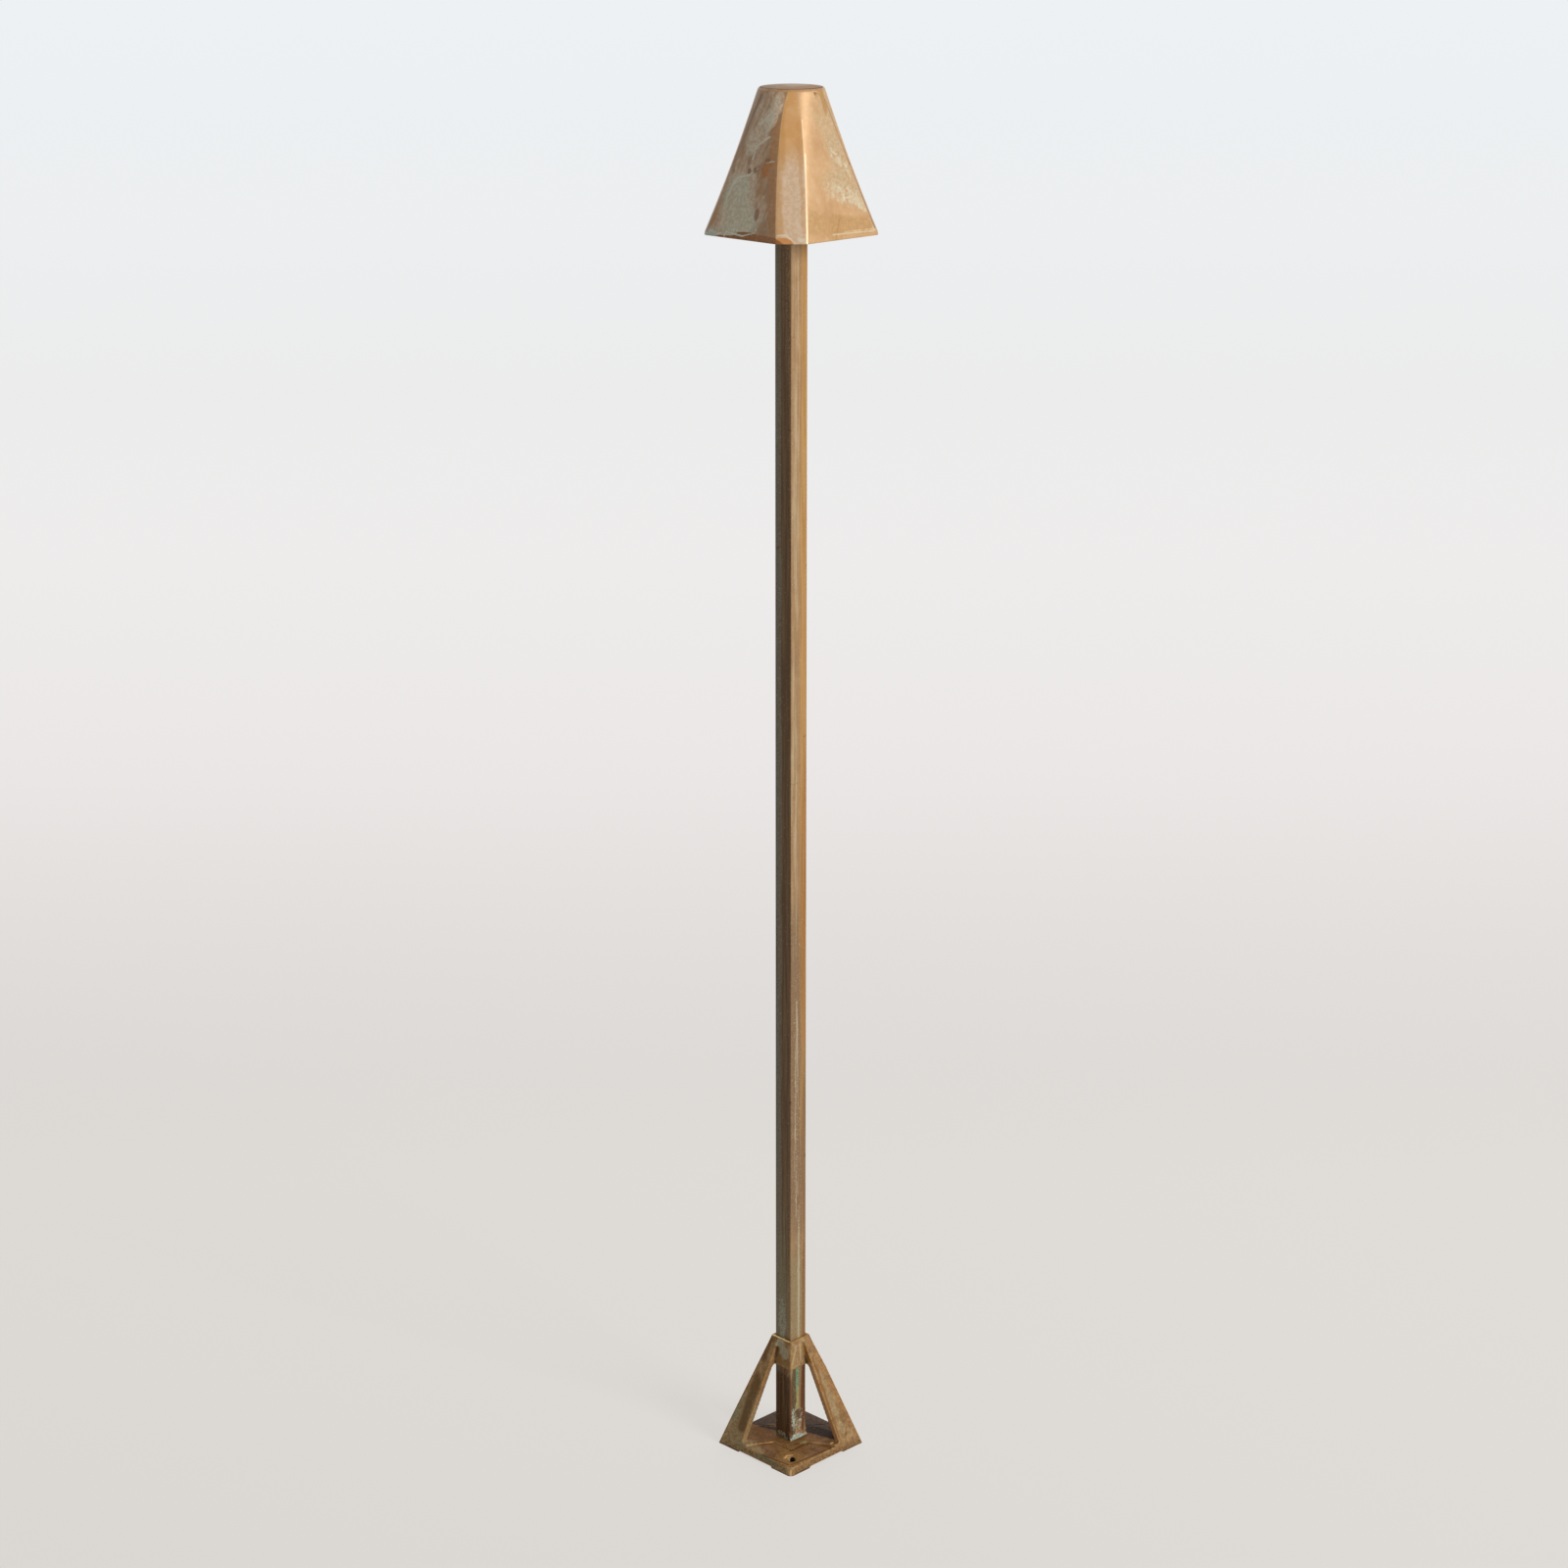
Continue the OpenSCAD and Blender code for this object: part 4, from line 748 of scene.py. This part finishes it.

# The foot: tan where the light falls, olive on the shaded leg, dark brown on the plate for dirt and painted
# shade
onPlate = dict(start=-2.0, upward=2.0, exact=True)
footCoats = [
    # darker where the surface is hollow
    coat("#4b3723", 0.8, 0.4, 0.15, 0.9, grime=1),
    # the plate's top: dark brown, dirt and painted shade from the legs around it
    coat(("#7a552f", "#936940"), 0.97, 0.2, 0.2, 0.6, shade="cloud", start=-0.3, upward=1.3),
    coat(("#9a7141", "#b08551"), 0.9, 0.5, 0.3, 1.0, ((27, -25.7, 6.1), (18, 18, 9), 1.4),
         ((10.4, -17.4, 7.3), (11, 11, 9), 0.8), **onPlate),
    coat(("#6a441c", "#805426"), 0.85, 0.4, 0.3, 1.0, ((-15.8, -14.2, 6.1), (18, 12, 9), 1.3),
         ((1.5, -18.9, 6.1), (10, 9, 9), 0.6), **onPlate),
    # its rear part is painted dark: a painted shadow of post and legs, with thin dark lines along its edge
    coat(("#56453b", "#695444"), 0.93, 0.3, 0.3, 0.9, ((-39.4, -5.6, 6.1), (-22.2, 21.6, 6.1), 12, 1.9),
         ((-22.2, 21.6, 6.1), (7.1, 38.6, 6.1), 12, 1.9), ((-2.7, 18.8, 6.1), (12.7, 27.5, 6.1), 6.5, 1.5),
         **onPlate),
    coat(("#302219", "#402e25"), 0.92, 0.3, 0.3, 0.9, ((1.2, 14.9, 6.1), (24, 21.2, 6.1), 8.0, 1.6),
         ((-24.7, -5.4, 6.1), (-12.4, -0.9, 6.1), 5.0, 1.2), **onPlate),
    coat("#1d1511", 0.8, 0.4, 0.3, 0.8, ((-35.4, -9.5, 6.1), (-19.5, 2, 6.1), 1.1, 1.5),
         ((-3.2, 19.4, 6.1), (8.8, 34.7, 6.1), 0.9, 1.2), exact=True),
    # the screw hole in front: painted shade inside it, and a painted highlight round its upper edge
    coat("#140d09", 1.0, 0.1, 0.3, 1.2, ((28.3, -26.4, 6.4), (20.6, -18.6, 0.5), 2.7, 2.0),
         ((26, -26, 1.0), (3.4, 3.4, 3.6), 3.0), exact=True),
    coat("#f0c07c", 0.9, 0.4, 0.3, 0.8, ((21.5, -28, 6.1), (20.4, -24.3, 6.1), 1.2, 1.6),
         ((20.4, -24.3, 6.1), (22.5, -21.2, 6.1), 1.2, 1.6), ((28.8, -22.9, 6.1), (1, 1, 2), 1.2), exact=True),
    # leg on the shaded side
    coat(("#9c8259", "#b69b74"), 0.9, 0.4, 0.4, 0.9, ((-16, -40, 40), (50, 24, 70), 1.6), by="streak",
         exact=True),
    coat(("#6a4b2b", "#7c5c39"), 0.88, 0.8, 0.3, 1.1, ((-14.5, -20.5, 56.1), (-19.3, -32.4, 18.1), 6.5, 1.0),
         ((-10.5, -11, 86.5), (-12.9, -15.8, 71.2), 5, 0.9)),
    coat(("#8b8c6c", "#a6a988"), 0.7, 1.0, 0.45, 1.0, ((-23.7, -22.8, 48.8), (-30.5, -31.8, 20.2), 3.5, 0.9),
         ((-17.4, -36.4, 5.6), (6, 5, 4), 1.0), ((-27.4, -29.6, 27.1), (4, 4, 9), 0.7), dull=True),
    coat("#a98a5c", 0.7, 1.3, 0.6, 1.1, ((-16.5, -14.3, 75.9), (-30, -31.2, 21.9), 2.4, 0.8)),
    # leg on the lit side
    coat(("#a8784a", "#b98a5a"), 0.7, 0.7, 0.3, 1.0, ((11.3, 8.6, 85.6), (21.9, 18.9, 51.8), 4.2, 0.7),
         ((21.9, 18.9, 51.8), (37.1, 37.5, 3.2), 3.0, 1.2), by="cloud"),
    coat(("#a4895f", "#b79e77"), 0.8, 0.8, 0.3, 0.95, ((20.1, 12.3, 57.6), (33.6, 21.9, 14.3), 4.2, 1.0),
         ((24.8, 16, 42.5), (5, 5, 9), 0.5), by="cloud", dull=True),
    coat("#96663a", 0.7, 0.6, 0.35, 0.9, ((15.1, 8, 73.5), (34.5, 16.8, 11.6), 1.5, 1.2)),
    # the leg's end face, which the lamp leaves in shade: painted light, brown near the collar and tan below
    coat("#a57b49", 0.9, 0.5, 0.4, 0.8, ((10.0, 3.7, 83), (14.5, 6.1, 68), 3.0, 1.6), exact=True),
    coat("#dbac7c", 0.9, 0.5, 0.4, 0.8, ((14.5, 6.1, 68), (32.7, 15.6, 10), 2.8, 1.8), exact=True),
    coat("#a86f38", 0.6, 0.8, 0.4, 0.9, ((23.1, 12.5, 48.1), (3, 3, 3), 1.1),
         ((21.3, 9, 53.6), (2.5, 3, 4), 1.0)),
    # collar
    coat("#d0b98e", 0.7, 0.6, 0.35, 0.9, ((10.2, -4.8, 85.1), (10.2, -8.4, 71.9), 1.4, 1.3),
         ((10.2, -0.7, 85.3), (10.2, 0.4, 72), 1.1, 1.2), ((10.2, -7.9, 87.8), (3, 3, 5), 0.6), dull=True),
    coat(("#b8ae8b", "#cbc1a1"), 0.8, 0.7, 0.35, 0.9, ((-0.9, -10.2, 85.6), (4.3, -10.2, 77.7), 6.5, 1.15),
         by="cloud", dull=True),
    coat("#a37c4c", 0.8, 0.5, 0.35, 0.9, ((-3, -10.2, 71.1), (7.4, -10.2, 71.6), 3.5, 1.0), by="cloud"),
    # rim of the plate
    coat(("#886b48", "#ac9267"), 0.92, 0.6, 0.4, 0.9, ((-2, -39.5, 2.4), (110, 5, 7), 1.6), by="cloud",
         exact=True),
    coat(("#7c5b3a", "#9b7850"), 0.92, 0.6, 0.4, 0.9, ((39.5, -12, 2.4), (5, 90, 7), 1.6), by="cloud",
         exact=True),
    coat(("#807b5b", "#95906f"), 0.8, 0.9, 0.35, 0.95, ((2, -36.8, 4.2), (22, -36.9, 3.9), 2.4, 1.0),
         dull=True),
    coat("#553820", 0.8, 0.7, 0.3, 0.9, ((0, -40, -0.4), (110, 8, 2.2), 1.2),
         ((40, 0, -0.4), (8, 110, 2.2), 1.2)),
    # painted highlight down the plate's rounded front corner
    coat("#eab87e", 0.8, 0.3, 0.3, 0.8, ((35.9, -35.9, 5.4), (36.7, -36.7, 1.2), 1.4, 1.5), exact=True),
    coat("#7f7f5c", 0.75, 0.8, 0.4, 0.9, ((15.4, -1.6, 7.3), (5, 4, 3), 1.2),
         ((-21.6, -18.9, 7.3), (6, 5, 3), 0.6), dull=True),
    # painted highlight on the fillet where the lit leg meets the plate
    coat("#f2c98d", 0.95, 0.2, 0.5, 0.9, ((32.1, 11.8, 6.1), (1.8, 2.6, 2.8), 1.8), exact=True),
    coat("#7d5631", 0.75, 0.6, 0.35, 0.9, ((38.2, 38.2, 0), (10.6, 10.6, 88), 1.7, 1.2),
         ((-38.2, -38.2, 0), (-10.6, -10.6, 88), 1.5, 1.2), exact=True),
    coat("#c08d4e", 0.8, 1.0, 0.6, 1.2, wornEdge=1),
    # fine lines of the raised band, the rim and the collar: painted highlights and painted shade
    # painted highlights on the raised band's rounded edges
    coat("#cf9a52", 0.8, 0.6, 0.3, 0.8, ((-8.3, -34, 7.3), (-1, -18.5, 7.3), 0.9, 1.3),
         ((15.5, -4.8, 7.3), (16, -0.1, 7.3), 0.8, 1.1), exact=True),
    # painted shade: dark lines along the raised band's edges and the rim's inner edge
    coat("#5b3b1c", 0.75, 0.5, 0.3, 0.8, ((1.1, -17.4, 7.3), (17.6, -17.4, 7.3), 0.9, 1.3),
         ((17.2, -17, 6.1), (17.2, -4, 6.1), 1.7, 1.6), ((-8.1, -38.2, 6.1), (30.9, -33.7, 6.1), 0.9, 1.2),
         ((32.7, -31.5, 6.1), (35.4, 7.4, 6.1), 0.8, 1.0), exact=True),
    # the collar's top edge and corner: rubbed metal with a painted highlight
    coat("#ffe19c", 1.0, 0.7, 0.3, 0.8, ((-10.2, -10.2, 91.2), (9.4, -10.2, 91.6), 2.4, 1.6),
         ((10.2, -10.5, 91.9), (2.2, 2.2, 2.6), 1.2), exact=True),
]
footBronze = weatheredBronze(
    "weatheredBronzeFoot", bendBy=2.5, cloudSize=7, streakStretch=(1, 1, 7), streakSize=3, speckSize=1.8,
    speckShare=0.3, coats=footCoats, shine=0.04, metallic=0.12, contrast=3.0,
    stops=[(0.12, "#8a6844"), (0.38, "#9f7b53"), (0.6, "#b08d61"), (0.88, "#c3a579")])


# The hub is turned from the same bronze and still bright
hubBronze = weatheredBronze("machinedBronze", bendBy=1, cloudSize=6, metallic=0.6, rough=0.36,
                            stops=[(0.3, "#8f6d45"), (0.5, "#a27f54"), (0.7, "#b59064")])

# Finishes of the fittings, each with the nodes of the model that wear it. The coil is a piece of the scene.
wireForm = dict(size=2, stretch=(1, 1, 0.1), rough=0.4, fine=0.6)
fittings = dict(
    # tarnished a little: rings from the tool show as fine bands
    turnedBrass=(dict(stops=[(0.3, "#94784d"), (0.5, "#a88a5c"), (0.7, "#ba9d6e")], size=3, stretch=(1, 1, 5),
                      rough=0.32, roughBy=0.2, fine=0.35, Metallic=0.9), "thumb_nut_left", "thumb_nut_right"),
    # cleaner and smoother
    stampedBrass=(dict(stops=[(0.3, "#b48f4a"), (0.7, "#d2b06c")], size=2, rough=0.25, fine=0.3, Metallic=1.0),
                  "terminal_sleeves", "socket_contacts"),
    # near black with a soft oily sheen
    blackOxideSteel=(dict(stops=[(0.3, "#2c2a28"), (0.7, "#4a4642")], size=1.5, rough=0.38, fine=0.3,
                          Metallic=0.8), "post_set_screws", "hub_screws"),
    # pale grey with faint blue and yellow
    zincPlatedSteel=(dict(stops=[(0.3, "#a9a69c"), (0.5, "#b9babb"), (0.7, "#c6c9cc")], size=1.2, rough=0.28,
                          fine=0.25, Metallic=0.95), "terminal_screws", "socket_screws"),
    # matt black-brown with bloom
    mouldedRubber=(dict(stops=[(0.3, "#201e1b"), (0.7, "#38342f")], size=2.5, rough=0.75, roughBy=0.2, fine=0.6,
                        bump=0.3), "wire_grommet"),
    # milky off-white
    mouldedPolyamide=(dict(stops=[(0.3, "#d6d1bf"), (0.7, "#e6e2d3")], size=3, rough=0.5, fine=0.5),
                      "terminal_block"),
    # extruded PVC: even colour, faint lines along the wire
    brownInsulation=(dict(stops=[(0.3, "#59361f"), (0.7, "#6b452b")], **wireForm), "lead_wire_brown"),
    blueInsulation=(dict(stops=[(0.3, "#2a4a78"), (0.7, "#365a8c")], **wireForm), "lead_wire_blue"),
    # cream, matt, with fine dark grains
    pressedSteatite=(dict(stops=[(0.25, "#cfc7b2"), (0.45, "#e4decd"), (0.75, "#ece8da")], size=0.9, rough=0.55,
                          fine=0.4, bump=0.25), "lamp_socket"),
    # clear, with a little waviness
    quartzGlass=(dict(stops=[(0.3, "#f4f7f7"), (0.7, "#fbfdfd")], size=6, rough=0.04, roughBy=0.02, fine=5,
                      bump=0.05, Transmission_Weight=1.0, IOR=1.46), "lamp_capsule"),
    # drawn wire
    drawnTungsten=(dict(stops=[(0.3, "#5d5d60"), (0.7, "#77777b")], size=0.5, rough=0.35, fine=0.2,
                        Metallic=1.0),),
    nickelWire=(dict(stops=[(0.3, "#a8a6a0"), (0.7, "#bdbbb5")], size=0.8, rough=0.25, fine=0.2, Metallic=1.0),
                "lamp_pins"),
)
finishes = {name: plainFinish(name, **look) for name, (look, *nodes) in fittings.items()}
worn = [(hubBronze, "lamp_hub")] + [(finishes[name], *nodes) for name, (look, *nodes) in fittings.items()]
for material, *nodes in worn:
    for name in nodes:
        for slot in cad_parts[name].material_slots:
            slot.material = material
print("stage: finishes made")

hoodShell = makeHood()
dress(hoodShell, hoodBronze, "hood_unit", "hood_bronze", "hood")
studSeats = joinPieces("studSeats", [makeSeat(1), makeSeat(-1)])
dress(studSeats, hoodBronze, "hood_unit", "hood_bronze", "hood")
postTube = makePost()
dress(postTube, postBronze, "stand", "post_bronze", "post")
footSkin = makeFoot()
dress(footSkin, footBronze, "stand", "foot_bronze", "base_casting")
studThreads = joinPieces("studThreads", [makeThread(1), makeThread(-1)])
dress(studThreads, finishes["turnedBrass"], "hood_unit", "fitting_brass", "hood_studs")
jamNuts = joinPieces("jamNuts", [makeNut(1), makeNut(-1)])
dress(jamNuts, finishes["turnedBrass"], "hood_unit", "fitting_brass", "stud_jam_nuts")
share = np.linspace(0, 1, filament["steps"])
coilTurn = 2 * np.pi * filament["turns"] * share
coil = tube(np.stack([filament["length"] * (share - 0.5), filament["coil"] * np.sin(coilTurn),
                      filament["coilLow"] + filament["coil"] * (1 - np.cos(coilTurn))], -1), filament["wire"])
rise = np.linspace(filament["low"], filament["coilLow"] + filament["wire"], 8)
supports = [tube(np.stack([0 * rise + side * filament["length"] / 2, 0 * rise, rise], -1), filament["wire"])
            for side in (1, -1)]
lampCoil = joinPieces("lampCoil", [coil] + supports)
dress(lampCoil, finishes["drawnTungsten"], "lamp", "filament_metal", "lamp_filament")
print("stage: castings and fittings made")


# Room: a pale floor without end, a pale sky and one soft lamp
room = dict(half=90000.0, albedo="#bcbab7", skyTint="#ecf0f4", skyGlow=0.2, nearShare=0.62, nearGrade=0.42,
            farGrade=0.16, nearest=0.9, rearTurn=135, rearRise=20, rearGlow=1.1, aim=(0, 0, 500),
            floorStops=[(0.063, "#edf1f4"), (0.178, "#ececec"), (0.3015, "#fcf8f7"), (0.434, "#fffaf5"),
                        (0.577, "#f9f5f0")], key=dict(turn=3, rise=22, away=3500.0, side=1300.0, watts=79))


def wayTo(turn, rise):
    # The direction at a turn from +X towards +Y and a rise above the ground, in degrees
    turn, rise = math.radians(turn), math.radians(rise)
    return Vector((math.cos(turn) * math.cos(rise), math.sin(turn) * math.cos(rise), math.sin(rise)))


def backgroundRays(add):
    # 1 for the rays that see the background itself: camera, glossy and transmission
    seen = [add("LightPath", out="Is " + kind + " Ray") for kind in ("Camera", "Glossy", "Transmission")]
    both = add("Math", (seen[0], seen[1]), operation="MAXIMUM")
    return add("Math", (both, seen[2]), operation="MAXIMUM")


def makeFloor():
    # Colour by distance: height / (distance from the viewer's side) grades evenly up the picture
    half = room["half"] * mm
    mesh = bpy.data.meshes.new("floor")
    mesh.from_pydata([(-half, -half, 0), (half, -half, 0), (half, half, 0), (-half, half, 0)], [],
                     [(0, 1, 2, 3)])
    floor = addObject("floor", mesh)
    material = bpy.data.materials.new("paintedFloor")
    add = partial(addNode, blankTree(material))
    place = add("TexCoord", out="Object")
    ahead = add("VectorMath", (place, tuple(viewAhead)), operation="DOT_PRODUCT", out="Value")
    away = add("Math", (ahead, cameraView["back"] * mm), operation="ADD")
    away = add("Math", (away, room["nearest"]), operation="MAXIMUM")
    grade = add("Math", (cameraView["height"] * mm, away), operation="DIVIDE")
    colour = add("ValToRGB", {"Fac": grade}, stops=room["floorStops"])
    share = add("MapRange", {"Value": grade, "From Min": room["nearGrade"], "From Max": room["farGrade"],
                             "To Min": room["nearShare"]}, interpolation_type="SMOOTHSTEP")
    share = add("Math", (share, backgroundRays(add)), operation="MULTIPLY")
    matt = add("BsdfDiffuse", {"Color": room["albedo"]})
    glow = add("Emission", {"Color": colour, "Strength": 1.0})
    add("OutputMaterial", {"Surface": add("MixShader", (share, matt, glow))})
    mesh.materials.append(material)


def makeLamp(name, lamp):
    # A square panel that stands away from the aim and faces it
    way = wayTo(lamp["turn"], lamp["rise"])
    data = bpy.data.lights.new(name, "AREA")
    data.shape, data.size, data.energy = "SQUARE", lamp["side"] * mm, lamp["watts"]
    light = addObject(name, data)
    light.location = (Vector(room["aim"]) + way * lamp["away"]) * mm
    light.rotation_euler = way.to_track_quat("Z", "Y").to_euler()


def makeSky():
    # Pale all round where it is seen. Its light is dim, and soft from the rear as the squared cosine of the
    # angle to the rear direction, so that the faces turned from the key lamp show too.
    world = bpy.data.worlds.new("paleSky")
    bpy.context.scene.world = world
    add = partial(addNode, blankTree(world))
    rear = wayTo(room["rearTurn"], room["rearRise"])
    facing = add("VectorMath", (add("TexCoord"), rear), operation="DOT_PRODUCT", out="Value")
    facing = add("Math", (facing, 0.0), operation="MAXIMUM")
    facing = add("Math", (facing, facing), operation="MULTIPLY")
    glow = add("Math", (facing, room["rearGlow"], room["skyGlow"]), operation="MULTIPLY_ADD")
    plain = add("Background", {"Color": "#f2f3f5", "Strength": glow})
    pale = add("Background", {"Color": room["skyTint"], "Strength": 1.0})
    add("OutputWorld", {"Surface": add("MixShader", (backgroundRays(add), plain, pale))})


makeFloor()
makeLamp("keyLamp", room["key"])
makeSky()
bpy.context.scene.view_settings.view_transform = "Standard"
print("stage: room lit")
